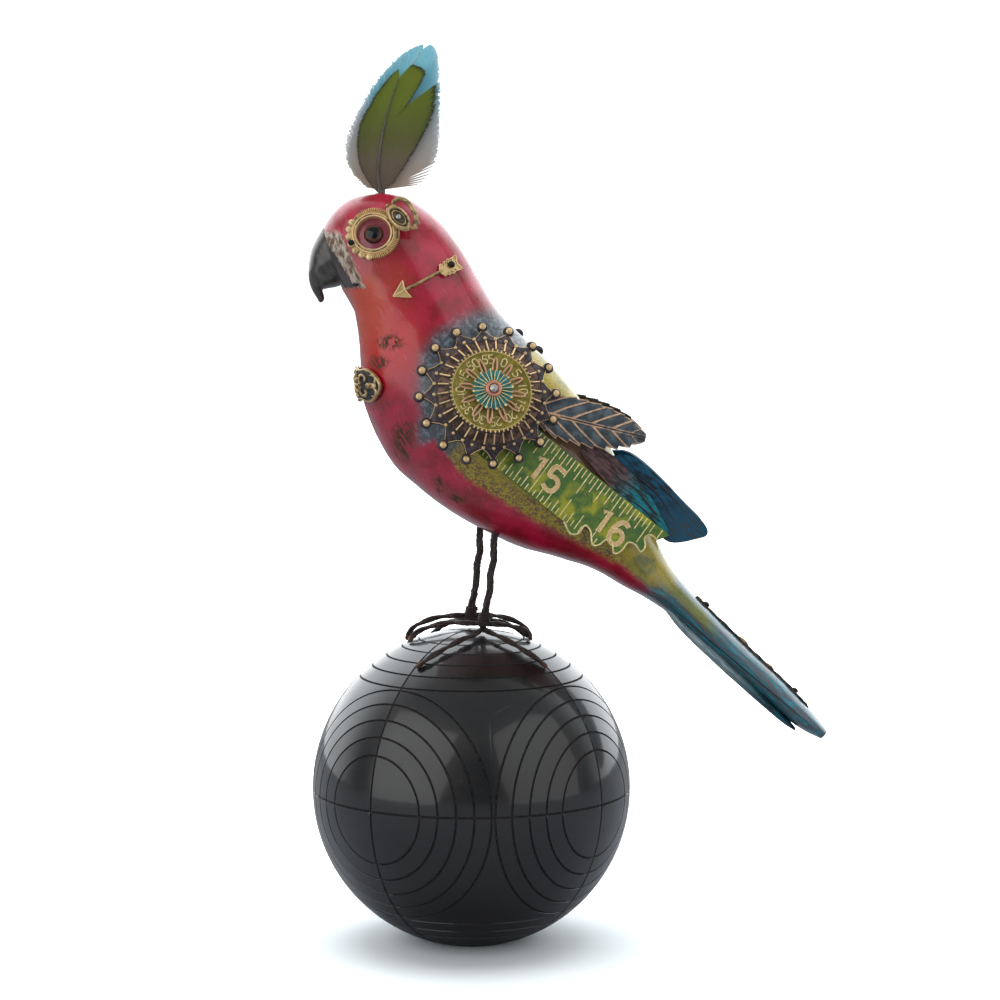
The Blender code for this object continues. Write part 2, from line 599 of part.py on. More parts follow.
def build_rule_and_wing(side):
    place, outward = rule_place(side)
    cut_edge = smooth_path([Vector(point) for point in RULE_CUT], 2)
    outline = [(0.0, 0.0), *[(p.x, p.y) for p in cut_edge], (67.5, RULE_WIDTH), (0.0, RULE_WIDTH)]
    bm = flat_plate(outline, lambda p: place(p, RULE_THICK), outward * RULE_THICK)
    add_piece(side + "_ruler", bm, "green_rule", smooth=False)
    layers = [
        ("wing_short", WING_SHORT, WING_SHORT_DEPTH, WING_SHORT_THICK),
        ("wing_long", WING_LONG, WING_LONG_DEPTH, WING_LONG_THICK),
    ]
    for name, outline, depth, thick in layers:
        bm = flat_plate(outline, lambda p, d=depth + thick: place(p, d), outward * thick)
        add_piece(f"{side}_{name}", bm, "blue_wood", smooth=False)


def build_leaf(side):
    sign = SIDES[side]
    base, tip = Vector(LEAF_BASE), Vector(LEAF_TIP)
    along = (tip - base).normalized()
    across = Vector(RULE_ACROSS)
    across = (across - along * across.dot(along)).normalized()
    outward = along.cross(across)
    outward = outward if outward.y < 0 else -outward
    length = (tip - base).length
    rows = []
    for k, half in enumerate(LEAF_HALF_WIDTHS):
        middle = base + along * (length * k / (len(LEAF_HALF_WIDTHS) - 1))
        row = [middle + across * half * step - outward * 0.8 * step**2 for step in (-1.0, -0.5, 0.0, 0.5, 1.0)]
        rows.append([Vector((p.x, -sign * p.y, p.z)) for p in row])
    vector = Vector((outward.x, -sign * outward.y, outward.z)) * LEAF_THICK
    add_piece(side + "_leaf", sheet(rows, vector), "slate_copper")


def build_tail(body):
    add_piece("tail_under", loft_sections(TAIL_UNDER_SECTIONS, 12), "blue_wood")
    rows, vectors = [], []
    count = len(TAIL_STRIP)
    for k, (x, z) in enumerate(TAIL_STRIP):
        ahead = Vector(TAIL_STRIP[min(k + 1, count - 1)]) - Vector(TAIL_STRIP[max(k - 1, 0)])
        normal = Vector((-ahead.y, 0.0, ahead.x)).normalized()
        base = Vector((x, 0.0, z)) + normal * 0.7
        rows.append([base + Vector((0.0, y, 0.0)) for y in (-TAIL_STRIP_HALF_WIDTH, 0.0, TAIL_STRIP_HALF_WIDTH)])
        vectors.append(normal * TAIL_STRIP_THICK)
    strip = add_piece("tail_strip", sheet(rows, vectors), "aged_brass")
    for name, (x, z) in zip(("tail_nail_front", "tail_nail_rear"), TAIL_NAILS_AT):
        normal = Vector((0.7, 0.0, 0.714))
        frame = frame_along(normal, Vector((x, 0.0, z)) + normal * (0.7 + TAIL_STRIP_THICK + 0.6))
        pin(name, frame, 1.2, 0.5, 6.0, [body, strip], "black_nail")


def on_ball(x, y, lift):
    """The point at a height above the ball's surface over a place seen from above."""
    rise = sqrt(BALL_RADIUS**2 - BALL_FOOT_RADIUS**2)
    centre = Vector((0.0, 0.0, rise))
    out = Vector((x, y, sqrt(max(BALL_RADIUS**2 - x * x - y * y, 0.0))))
    return centre + out.normalized() * (BALL_RADIUS + lift)


def toe_wire(ankle, ends):
    """One strand that runs from a front toe's claw over the ankle to a back toe's claw."""
    halves = []
    for end, arch in ends:
        rest = TOE_WIRE + GAP
        lifts = [(1.0, rest), (0.84, rest + 0.7 * arch), (0.55, rest + arch), (0.22, rest + 0.8 * arch)]
        halves.append([on_ball(*ankle.xy.lerp(Vector(end), t), lift) for t, lift in lifts])
    hub = ankle + Vector((0.0, 0.0, TOE_WIRE + GAP + 1.3))
    return tube(smooth_path(halves[0] + [hub] + halves[1][::-1], 2), TOE_WIRE, 7)


def build_leg(side, ball, body):
    """A leg of twisted wire, bound at the ankle, whose strands spread over the ball as four toes."""
    top, foot = Vector(LEGS[side][0]), Vector(LEGS[side][1])
    down = (foot - top).normalized()
    ankle = on_ball(foot.x, foot.y, 0.0)
    start, end = top - down * LEG_IN_BODY, ankle + down * LEG_IN_BALL
    knee = top.lerp(ankle, 0.5) + Vector((0.5, 0.0, 0.0))
    leg = add_piece(side + "_leg", tube([start, top, knee, ankle, end], LEG_WIRE, 10), "dark_wire")
    for name, tip, piece in (("_hip_hole", start, body), ("_foot_hole", end, ball)):
        away = (knee - tip).normalized()
        depth = (knee - tip).length
        hole = [(0.0, -1.0), (LEG_WIRE + 0.6, -1.0), (LEG_WIRE + 0.6, depth), (0.0, depth)]
        cut(piece, add_cutter(side + name, turned(hole, 10, frame_along(away, tip))))
    for number, ends in enumerate(TOES[side]):
        strand = add_cutter(f"{side}_toe_strand_{number}", toe_wire(ankle, ends))
        cut(leg, strand).operation = "UNION"
    inner, outer, height = LEG_WIRE + GAP, LEG_WIRE + GAP + ANKLE["wall"], ANKLE["height"]
    profile = [(inner, 0.0), (outer, 0.0), (outer + 0.3, height / 2), (outer, height), (inner, height)]
    frame = frame_along(-down, ankle.lerp(knee, ANKLE["share"]))
    add_piece(side + "_ankle_wrap", turned(profile, 14, frame), "dark_wire")


def build_feather(name, outline, vane_y, finish):
    """A thin vane whose quill, at the start and end of its outline, stands in the head's socket."""
    x, quill_foot = CREST_AT[0], CREST_AT[2] - QUILL_DEPTH
    quill = [(x + QUILL_HALF_WIDTH, quill_foot), (x - QUILL_HALF_WIDTH, quill_foot)]
    lean = 0.02

    def place(point):
        height = point[1] - CREST_AT[2]
        return Vector((point[0], vane_y * (1 + lean * max(height, 0.0)), point[1]))

    bm = flat_plate(outline + quill, place, Vector((0.0, VANE_THICK, 0.0)))
    add_piece(name, bm, finish, smooth=False)


def build():
    clear_scene()
    ball = build_ball()
    body, flank = build_body()
    build_beak()
    build_plaque(body, flank)
    build_tail(body)
    for side in SIDES:
        build_eye(side, body, flank)
        build_charm(side, body, flank)
        build_arrow(side, body, flank)
        build_rosette(side, body, flank)
        build_rule_and_wing(side)
        build_leaf(side)
        build_leg(side, ball, body)
    build_feather("crest_feather_pale", PALE_FEATHER, PALE_VANE_Y, "pale_feather")
    build_feather("crest_feather_green", GREEN_FEATHER, GREEN_VANE_Y, "green_feather")


build()
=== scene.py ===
# Crested bird on a grooved ball: the finished looks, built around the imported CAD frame.
# Lengths are millimetres unless a note says otherwise, and a piece becomes metres when it is made.
# +Z is up, the bird looks along -X, and its left side is at -Y.

from math import asin, atan2, cos, pi, radians, sin, sqrt

import bmesh
import bpy
from mathutils import Matrix, Vector, noise
from mathutils.bvhtree import BVHTree
from mathutils.geometry import tessellate_polygon


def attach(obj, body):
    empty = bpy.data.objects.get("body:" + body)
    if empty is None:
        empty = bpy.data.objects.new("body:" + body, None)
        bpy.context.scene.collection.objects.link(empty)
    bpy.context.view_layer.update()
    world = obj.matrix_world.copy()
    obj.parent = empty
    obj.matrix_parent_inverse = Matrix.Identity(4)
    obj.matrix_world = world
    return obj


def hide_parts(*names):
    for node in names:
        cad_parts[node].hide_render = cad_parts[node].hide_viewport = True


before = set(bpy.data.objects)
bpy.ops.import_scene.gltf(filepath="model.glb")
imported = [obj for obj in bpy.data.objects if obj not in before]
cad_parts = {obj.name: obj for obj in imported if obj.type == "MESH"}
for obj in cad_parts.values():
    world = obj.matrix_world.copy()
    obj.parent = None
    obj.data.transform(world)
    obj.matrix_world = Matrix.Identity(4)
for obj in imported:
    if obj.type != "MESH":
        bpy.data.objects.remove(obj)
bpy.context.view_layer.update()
sides = {"left": -1, "right": 1}
metres = 0.001
flip = Matrix.Diagonal((1.0, -1.0, 1.0, 1.0))  # the left side's mirror image
halves = {"left": Matrix(), "right": flip}


class Signal:
    # a socket whose sums and products add Math nodes to its tree
    def __init__(self, maker, socket):
        self.maker = maker
        self.socket = socket

    def math(self, operation, first, second=0.0):
        return self.maker.get("ShaderNodeMath", {"operation": operation}, {0: first, 1: second})

    def __add__(self, other):
        return self.math("ADD", self, other)

    def __sub__(self, other):
        return self.math("SUBTRACT", self, other)

    def __rsub__(self, other):
        return self.math("SUBTRACT", other, self)

    def __mul__(self, other):
        return self.math("MULTIPLY", self, other)

    def __truediv__(self, other):
        return self.math("DIVIDE", self, other)

    def __pow__(self, other):
        return self.math("POWER", self, other)

    __radd__ = __add__
    __rmul__ = __mul__

    def most(self, other):
        return self.math("MAXIMUM", self, other)

    def least(self, other):
        return self.math("MINIMUM", self, other)

    def size(self):
        return self.math("ABSOLUTE", self)

    def rise(self, low, high):  # 0 at low, 1 at high, eased between
        inputs = {"Value": self, "From Min": low, "From Max": high}
        return self.maker.get("ShaderNodeMapRange", {"interpolation_type": "SMOOTHSTEP"}, inputs)


class NodeMaker:
    def __init__(self, tree):
        self.tree = tree

    def add(self, kind, settings=None, inputs=None):
        node = self.tree.nodes.new(kind)
        for name, value in (settings or {}).items():
            if name == "stops":
                self.setStops(node.color_ramp, value)
            else:
                setattr(node, name, value)
        for name, value in (inputs or {}).items():
            self.connect(node.inputs[name], value)
        return node

    def setStops(self, ramp, stops):
        while len(ramp.elements) < len(stops):
            ramp.elements.new(0.5)
        for element, (position, colour) in zip(ramp.elements, stops):
            element.position = position
            element.color = (*colour, 1.0) if isinstance(colour, tuple) else (colour, colour, colour, 1.0)

    def connect(self, socket, value):
        if isinstance(value, Signal):
            self.tree.links.new(value.socket, socket)
        elif socket.type == "RGBA" and len(value) == 3:
            socket.default_value = (*value, 1.0)
        else:
            socket.default_value = value

    def get(self, kind, settings=None, inputs=None, output=0):
        return Signal(self, self.add(kind, settings, inputs).outputs[output])


class Finish(NodeMaker):
    # A material on the principled shader, with object coordinates in millimetres.
    def __init__(self, name, constants=None):
        self.material = bpy.data.materials.new(name)
        self.material.use_nodes = True
        super().__init__(self.material.node_tree)
        self.shader = self.tree.nodes["Principled BSDF"]
        for socket, value in (constants or {}).items():
            self.connect(self.shader.inputs[socket], value)
        spot = self.get("ShaderNodeTexCoord", output="Object")
        self.spot = self.get("ShaderNodeVectorMath", {"operation": "SCALE"}, {0: spot, "Scale": 1 / metres})
        split = self.add("ShaderNodeSeparateXYZ", inputs={0: self.spot})
        self.x, self.y, self.z = (Signal(self, split.outputs[k]) for k in range(3))
        self.normal = None

    def clouds(self, across, detail=3.0, roughness=0.55, distortion=0.0, where=None, shift=0.0):
        place = where or self.spot
        if shift:
            place = self.get("ShaderNodeVectorMath", inputs={0: place, 1: (shift, shift * 0.7, -shift)})
        inputs = {"Vector": place, "Scale": 1.0 / across, "Detail": detail, "Roughness": roughness,
                  "Distortion": distortion}
        return self.get("ShaderNodeTexNoise", inputs=inputs)

    # coordinates drawn out along a line that falls by this many degrees
    def stretched(self, slope, length):
        inputs = {"Vector": self.spot, "Rotation": (0.0, radians(slope), 0.0), "Scale": (length, 1.0, 1.0)}
        return self.get("ShaderNodeMapping", {"vector_type": "TEXTURE"}, inputs)

    def cells(self, across, feature="F1"):
        inputs = {"Vector": self.spot, "Scale": 1.0 / across}
        return self.get("ShaderNodeTexVoronoi", {"feature": feature}, inputs)

    def mark(self, name):
        return self.get("ShaderNodeAttribute", {"attribute_name": name}, output="Fac")

    def mix(self, factor, first, second):
        settings = {"data_type": "RGBA"}
        return self.get("ShaderNodeMix", settings, {0: factor, 6: first, 7: second}, output=2)

    def ramp(self, factor, stops):
        return self.get("ShaderNodeValToRGB", {"stops": stops}, {"Fac": factor})

    def blob(self, at, size, soft, wobble):  # 1 inside an oval of the XZ plane whose edge wobbles
        across = (self.x - at[0]) / size[0]
        up = (self.z - at[1]) / size[1]
        reach = (across * across + up * up) ** 0.5 + wobble
        return reach.rise(1.0 + soft, 1.0 - soft)

    def raised(self, height, distance, strength=1.0):
        inputs = {"Strength": strength, "Distance": distance * metres, "Height": height}
        if self.normal:
            inputs["Normal"] = self.normal
        self.normal = self.get("ShaderNodeBump", inputs=inputs)

    def wear(self, colour=None, roughness=None, metallic=None, coat=None):
        pairs = {"Base Color": colour, "Roughness": roughness, "Metallic": metallic, "Coat Weight": coat,
                 "Normal": self.normal}
        for socket, value in pairs.items():
            if value is not None:
                self.connect(self.shader.inputs[socket], value)
        return self.material


ballFinishLook = {"black": (0.0035, 0.004, 0.0045), "worn": (0.009, 0.008, 0.008),
                  "dust": (0.030, 0.024, 0.022)}


def makeBallFinish():
    look = ballFinishLook
    finish = Finish("ballLacquer", {"Coat Roughness": 0.09, "IOR": 1.42, "Coat IOR": 1.55})
    groove = finish.mark("groove")
    dusty = finish.clouds(0.9, detail=4.0, roughness=0.7)
    smear = finish.clouds(16.0, detail=4.0)
    nicks = finish.cells(5.5).rise(0.07, 0.03) * finish.clouds(9.0).rise(0.54, 0.60)
    grain = finish.clouds(0.35, detail=2.0)
    base = finish.mix(smear.rise(0.35, 0.7), look["black"], look["worn"])
    dust = groove * dusty.rise(0.36, 0.66)
    colour = finish.mix(dust.most(nicks * 0.6), base, look["dust"])
    roughness = (0.24 + smear * 0.2 + groove * 0.4 + nicks * 0.3).least(1.0)
    finish.raised(grain * 0.12 + smear * 0.9 - nicks * 3.0, 0.06)
    return finish.wear(colour=colour, roughness=roughness, coat=(1.0 - groove) * (0.9 - smear * 0.5))


birdLook = {
    "raspberry": (0.34, 0.002, 0.030), "crimson": (0.21, 0.0, 0.009), "scarlet": (0.42, 0.0, 0.004),
    "orange": (0.48, 0.060, 0.020), "beak": (0.028, 0.023, 0.020), "brown": (0.10, 0.050, 0.020),
    "pit": (0.012, 0.008, 0.007), "slate": (0.050, 0.060, 0.075), "paleSlate": (0.15, 0.19, 0.21),
    "olive": (0.32, 0.25, 0.004), "moss": (0.095, 0.11, 0.010), "teal": (0.002, 0.125, 0.165),
    "bright": (0.008, 0.21, 0.29), "shade": (0.016, 0.016, 0.009),
    "cere": (0.20, 0.15, 0.115), "cerePale": (0.45, 0.37, 0.31), "mauve": (0.16, 0.035, 0.055),
    "crimsonEdge": [(-60, 150), (-12, 170), (-2, 157.5), (19, 144.5), (34, 136.2), (50, 127.6), (62, 117.8),
                    (90, 82)],
    "worn": [((-22.3, 170.5), (4.0, 8.4)), ((-10.4, 154.5), (1.2, 3.6)), ((-4.0, 150.0), (2.2, 2.2)),
             ((-26.0, 201.5), (4.5, 2.4)), ((-30.0, 195.0), (3.0, 2.2))],
}


def makeBirdPaint():
    look = birdLook
    finish = Finish("birdPaint", {"Coat Roughness": 0.16, "IOR": 1.38, "Coat IOR": 1.58})
    x, z = finish.x, finish.z
    station = finish.mark("station")
    broad = finish.clouds(9.0, detail=4.0)
    wobble = (broad - 0.5) * 1.1
    fine = finish.clouds(1.6, detail=5.0, roughness=0.65)
    speck = finish.clouds(0.6, detail=3.0, roughness=0.6, shift=6.0)
    strokes = finish.clouds(1.1, detail=3.0, where=finish.stretched(57, 5.0))
    tailStrokes = finish.clouds(1.0, detail=3.0, where=finish.stretched(46, 7.0))

    reds = finish.mix(broad.rise(0.38, 0.62), look["crimson"], look["raspberry"])
    scarlet = finish.blob((-26.0, 203.0), (9.0, 14.0), 0.6, wobble)
    colour = finish.mix(scarlet, reds, look["scarlet"])
    orange = finish.blob((-35.5, 211.5), (8.0, 13.5), 0.55, wobble * 0.8)
    cheek = finish.blob((-29.0, 222.0), (9.5, 7.0), 0.6, wobble) * 0.42
    colour = finish.mix(orange.most(cheek) * (0.55 + 0.45 * fine), colour, look["orange"])

    # the low edge of the wing ground: crimson below it, brown and olive above
    stops = [((a + 60) / 180, (b - 60) / 200) for a, b in look["crimsonEdge"]]
    edge = finish.ramp((x + 60.0) / 180.0, stops) * 200.0 + 60.0
    above = z - edge + (fine - 0.5) * 2.2 + (broad - 0.5) * 2.0
    fromRosette = ((x - 6.9) * (x - 6.9) + (z - 186.4) * (z - 186.4)) ** 0.5 + wobble * 3.2
    nearRosette = fromRosette.rise(28.5, 22.0)
    behind = z.rise(182.0, 174.0).most((x + (z - 205.0) * 0.3).rise(11.0, 18.0))
    ground = above.rise(-1.6, 1.8) * x.rise(-20.0, -15.0) * nearRosette.most(behind)
    brownMix = finish.mix((speck * 0.6 + fine * 0.4).rise(0.42, 0.58), look["brown"], look["olive"])
    yellowing = (above - 7.5 + x.rise(36.0, 62.0) * 7.0 + (broad - 0.5) * 9.0).rise(-2.5, 2.5)
    greens = finish.mix(broad.rise(0.52, 0.68), look["olive"], look["moss"])
    wings = finish.mix(yellowing * 0.9, brownMix, greens)
    shoulder = (z + (broad - 0.5) * 12.0 - (x - 8.0) * 0.75).rise(172.0, 181.0)
    cracked = finish.clouds(7.0, shift=3.0).rise(0.46, 0.56)
    crackle = finish.cells(2.6, "DISTANCE_TO_EDGE").rise(0.09, 0.02) * cracked
    crackle = crackle * (x + (z - 205.0) * 0.5).rise(4.0, 11.0)
    slate = finish.mix(fine.rise(0.46, 0.66), look["slate"], look["paleSlate"])
    slate = finish.mix(crackle, slate, look["pit"])
    back = finish.blob((27.0, 189.0), (11.0, 13.0), 0.25, wobble * 0.6)
    wings = finish.mix(shoulder * (1.0 - back), wings, slate)
    colour = finish.mix(ground, colour, wings)
    # distance above the rule's upper edge: the band over it gets a painted shadow under the leaf, with the
    # wing's brown paint close to the edge
    overRule = (x - 13.8) * 0.629 + (z - 180.1) * 0.772 + (fine - 0.5) * 1.5
    inWing = x.rise(17.0, 22.0) * x.rise(66.0, 60.0)
    colour = finish.mix(overRule.rise(10.0, 7.0) * overRule.rise(-3.0, -1.0) * inWing, colour,
                        look["shade"])
    colour = finish.mix(overRule.rise(5.0, 3.5) * overRule.rise(-1.0, 0.5) * inWing * x.rise(22.0, 26.0),
                        colour, look["brown"])

    # the tail: teal over slate, with a green strip along its root
    tail = (station + (broad - 0.5) * 1.6).rise(18.6, 20.2)
    tailMix = finish.mix(tailStrokes.rise(0.42, 0.60), look["slate"], look["teal"])
    tailMix = finish.mix(tailStrokes.rise(0.56, 0.68) * broad.rise(0.42, 0.56), tailMix, look["bright"])
    tailMix = finish.mix(fine.rise(0.55, 0.66) * 0.7, tailMix, look["slate"])
    green = ((x - 66.0) * 0.70 + (z - 120.6) * 0.714)
    strip = (green.size() + (fine - 0.5) * 1.6).rise(2.3, 1.2) * x.rise(62.0, 67.0) * x.rise(84.0, 77.0)
    tailMix = finish.mix(strip, tailMix, look["moss"])
    colour = finish.mix(tail, colour, tailMix)

    # the rough band behind the beak, the beak's own edge and the mouth line
    ragged = (fine - 0.5) * 2.6 + (strokes - 0.5) * 2.0
    fromBeak = x + 48.3 - (235.9 - z) * 0.647 + ragged
    fromFace = x + 42.6 - (237.2 - z) * 0.472 + ragged
    lowEnough = (z + ragged * 0.5).rise(239.0, 236.4) * z.rise(218.6, 219.8)
    beakSide = fromBeak.rise(0.4, -0.4) * lowEnough
    cere = fromFace.rise(0.6, -0.6) * lowEnough * (1.0 - beakSide)
    cereMix = finish.mix(strokes.rise(0.44, 0.60), look["cere"], look["cerePale"])
    cereMix = finish.mix((strokes * 0.6 + fine * 0.4).rise(0.48, 0.40) * 0.8, cereMix, look["brown"])
    colour = finish.mix(cere, colour, cereMix)
    colour = finish.mix(beakSide, colour, look["beak"])
    mouth = (z - 220.2 + (broad - 0.5) * 3.0 + (fine - 0.5) * 1.6).size().rise(0.75, 0.35)
    mouth = mouth * x.rise(-35.5, -37.0)
    colour = finish.mix(mouth, colour, look["pit"])
    flesh = finish.blob((-31.6, 236.8), (5.8, 5.8), 0.12, 0.0)
    skin = finish.mix(fine.rise(0.4, 0.7), look["mauve"], look["crimson"])
    colour = finish.mix(flesh * 0.9, colour, skin)

    # worn places, brush marks and pits
    bare = None
    for at, size in look["worn"]:
        patch = finish.blob(at, size, 0.5, (strokes - 0.5) * 2.4 + wobble)
        bare = patch if bare is None else bare.most(patch)
    bare = bare * (strokes * 0.7 + fine * 0.4).rise(0.52, 0.56)
    colour = finish.mix(bare, colour, finish.mix(fine, look["pit"], look["brown"]))
    pits = finish.cells(1.5).rise(0.14, 0.06) * finish.clouds(5.0, shift=9.0).rise(0.48, 0.60)
    pits = pits.most(fine.rise(0.65, 0.71) * 0.7).most(speck.rise(0.68, 0.72) * 0.8)
    colour = finish.mix(pits * 0.85, colour, look["pit"])
    veil = strokes.rise(0.60, 0.74) * 0.10
    colour = finish.mix(veil, colour, (0.5, 0.36, 0.36))

    rough = bare.most(cere).most(pits * 0.8)
    roughness = (0.30 + fine * 0.16 + ground * 0.10 + rough * 0.35).least(0.9)
    finish.raised(broad, 0.7, 0.5)
    finish.raised(strokes * 0.6 + fine - bare * 1.2 - pits * 1.5 - crackle * ground, 0.12, 0.7)
    finish.raised(cere * strokes, 0.5, 1.0)
    return finish.wear(colour=colour, roughness=roughness, coat=(1.0 - rough) * 0.8)


def makeHorn(name, dark, pale):
    finish = Finish(name, {"Coat Roughness": 0.1})
    strokes = finish.clouds(1.2, detail=4.0, where=finish.stretched(62, 4.0))
    scratch = finish.clouds(0.5, detail=3.0, roughness=0.7)
    colour = finish.mix(strokes.rise(0.35, 0.72), dark, pale)
    finish.raised(strokes + scratch * 0.4, 0.12, 0.6)
    return finish.wear(colour=colour, roughness=0.22 + strokes * 0.2, coat=0.75 - scratch * 0.4)


def makeEyeGlass():
    finish = Finish("eyeGlass", {"Coat Weight": 0.35, "Coat Roughness": 0.02, "Roughness": 0.2,
                                 "IOR": 1.35})
    reach = finish.mark("reach")
    streaks = finish.clouds(0.35, detail=2.0)
    iris = finish.mix(streaks.rise(0.35, 0.7), (0.030, 0.008, 0.004), (0.14, 0.030, 0.008))
    colour = finish.mix(reach.rise(0.70, 0.63), iris, (0.002, 0.003, 0.004))
    colour = finish.mix((reach + (streaks - 0.5) * 0.1).rise(0.82, 0.92), colour, (0.02, 0.004, 0.006))
    finish.raised(streaks, 0.02, 0.2)
    return finish.wear(colour=colour, roughness=0.12 + streaks * 0.1)


def makeMetal(name, bright, dark, blotch, edges=(0.02, 0.30), rough=(0.30, 0.55), tarnish=0.5,
              metallic=1.0):
    # Old metal: bright where fingers rub its edges, dark in its corners, blotched between.
    finish = Finish(name)
    worn = finish.mark("wear")
    mottle = finish.clouds(2.2, detail=4.0, roughness=0.65)
    scratch = finish.clouds(0.45, detail=3.0, roughness=0.7)
    rubbed = (worn + (mottle - 0.5) * tarnish + (scratch - 0.5) * 0.15).rise(*edges)
    ground = finish.mix(mottle.rise(0.42, 0.62), dark, blotch)
    shine = finish.mix(scratch.rise(0.3, 0.8), bright, [c * 0.78 for c in bright])
    colour = finish.mix(rubbed, ground, shine)
    roughness = rough[1] - rubbed * (rough[1] - rough[0]) + scratch * 0.12
    finish.raised(mottle * 0.7 + scratch * 0.5, 0.08, 0.8)
    return finish.wear(colour=colour, roughness=roughness, metallic=metallic * (0.55 + rubbed * 0.45))


def makePaintedMetal(name, colours, rough, metallic, across=3.0):
    # Patina or paint on metal: two colours in clouds, with flecks of a third.
    finish = Finish(name, {"Coat Roughness": 0.2})
    mottle = finish.clouds(across, detail=5.0, roughness=0.6, distortion=0.4)
    fleck = finish.clouds(across * 0.28, detail=4.0, roughness=0.7, shift=7.0)
    scratch = finish.clouds(0.4, detail=2.0)
    colour = finish.mix(mottle.rise(0.42, 0.60), colours[0], colours[1])
    colour = finish.mix(fleck.rise(0.56, 0.70) * 0.8, colour, colours[2])
    finish.raised(mottle * 0.6 + fleck * 0.6 + scratch * 0.3, 0.06, 0.7)
    return finish.wear(colour=colour, roughness=rough + fleck * 0.2 - scratch * 0.08,
                       metallic=metallic, coat=0.2 * (1.0 - fleck.rise(0.5, 0.7)))


def makeRulePaint():
    finish = Finish("rulePaint", {"Coat Roughness": 0.15})
    mottle = finish.clouds(6.5, detail=3.0, roughness=0.5, distortion=0.3)
    small = finish.clouds(1.5, detail=4.0, roughness=0.65, shift=4.0)
    scratch = finish.clouds(0.5, detail=3.0, where=finish.stretched(30, 5.0))
    colour = finish.mix(small.rise(0.38, 0.62), (0.032, 0.085, 0.006), (0.070, 0.140, 0.008))
    colour = finish.mix(mottle.rise(0.50, 0.64), colour, (0.24, 0.25, 0.003))
    colour = finish.mix(finish.clouds(11.0, shift=20.0).rise(0.50, 0.62) * 0.6, colour,
                        (0.022, 0.085, 0.014))
    colour = finish.mix(scratch.rise(0.66, 0.76) * 0.35, colour, (0.34, 0.30, 0.10))
    finish.raised(small * 0.6 + scratch * 0.5, 0.05, 0.7)
    return finish.wear(colour=colour, roughness=0.34 + small * 0.18, metallic=0.1,
                       coat=0.16 - scratch * 0.1)


def makeLeafPatina():
    finish = Finish("leafPatina")
    vein = finish.mark("vein")
    mottle = finish.clouds(3.4, detail=5.0, roughness=0.6)
    fine = finish.clouds(0.6, detail=3.0)
    copper = finish.mix(fine.rise(0.35, 0.7), (0.70, 0.46, 0.30), (0.40, 0.21, 0.12))
    slate = finish.mix(mottle.rise(0.42, 0.62), (0.030, 0.045, 0.056), (0.075, 0.100, 0.115))
    slate = finish.mix(fine.rise(0.55, 0.72) * 0.5, slate, (0.10, 0.075, 0.06))
    rubbed = (vein + (mottle - 0.5) * 0.9 + (fine - 0.5) * 0.5).rise(0.42, 0.78)
    finish.raised(mottle * 0.6 + fine * 0.5, 0.06, 0.8)
    return finish.wear(colour=finish.mix(rubbed, slate, copper),
                       roughness=0.46 - rubbed * 0.12 + fine * 0.1,
                       metallic=0.35 + rubbed * 0.35)


def makeWingPaint(name, low, high, mid, turn=38):
    finish = Finish(name, {"Coat Roughness": 0.2, "IOR": 1.25})
    along = finish.x * 0.775 - finish.z * 0.632
    broad = finish.clouds(5.0, detail=4.0)
    strokes = finish.clouds(1.1, detail=4.0, roughness=0.65, where=finish.stretched(turn, 4.5))
    change = (along + (broad - 0.5) * 14.0 + (strokes - 0.5) * 8.0).rise(*mid)
    colour = finish.mix(change, low[0], high[0])
    other = finish.mix(change, low[1], high[1])
    colour = finish.mix((strokes + broad * 0.4).rise(0.60, 0.80), colour, other)
    finish.raised(strokes + broad * 0.8, 0.16, 0.8)
    return finish.wear(colour=colour, roughness=0.44 + strokes * 0.2, coat=0.16 - strokes * 0.16)


def makeCordWire():
    finish = Finish("waxedWire")
    fine = finish.clouds(0.5, detail=4.0, roughness=0.7)
    mottle = finish.clouds(2.4, detail=3.0)
    rust = finish.mark("rust")
    colour = finish.mix(fine.rise(0.4, 0.7), (0.012, 0.008, 0.007), (0.060, 0.038, 0.030))
    rusted = (rust + (mottle - 0.5) * 0.9).rise(0.35, 0.75)
    colour = finish.mix(rusted * 0.8, colour, finish.mix(fine, (0.035, 0.012, 0.006), (0.16, 0.065, 0.026)))
    finish.raised(fine + mottle * 0.5, 0.18, 1.0)
    return finish.wear(colour=colour, roughness=0.42 + fine * 0.3, metallic=0.25)


def makeFeather(name, stops, tint):
    # Colour runs from the feather's base to its tip by the mark that each barb carries.
    finish = Finish(name, {"Roughness": 0.6, "Sheen Weight": 0.25, "Sheen Roughness": 0.4, "IOR": 1.4})
    along = finish.mark("along")
    tip = finish.mark("tip")
    mottle = finish.clouds(4.0, detail=3.0)
    fine = finish.clouds(0.5, detail=2.0)
    colour = finish.ramp(along + (mottle - 0.5) * 0.10 + (fine - 0.5) * 0.06, stops)
    colour = finish.mix((tip + (fine - 0.5) * 0.3).rise(0.86, 1.0) * tint[1], colour, tint[0])
    finish.raised(fine, 0.04, 0.6)
    return finish.wear(colour=colour, roughness=0.5 + fine * 0.25)


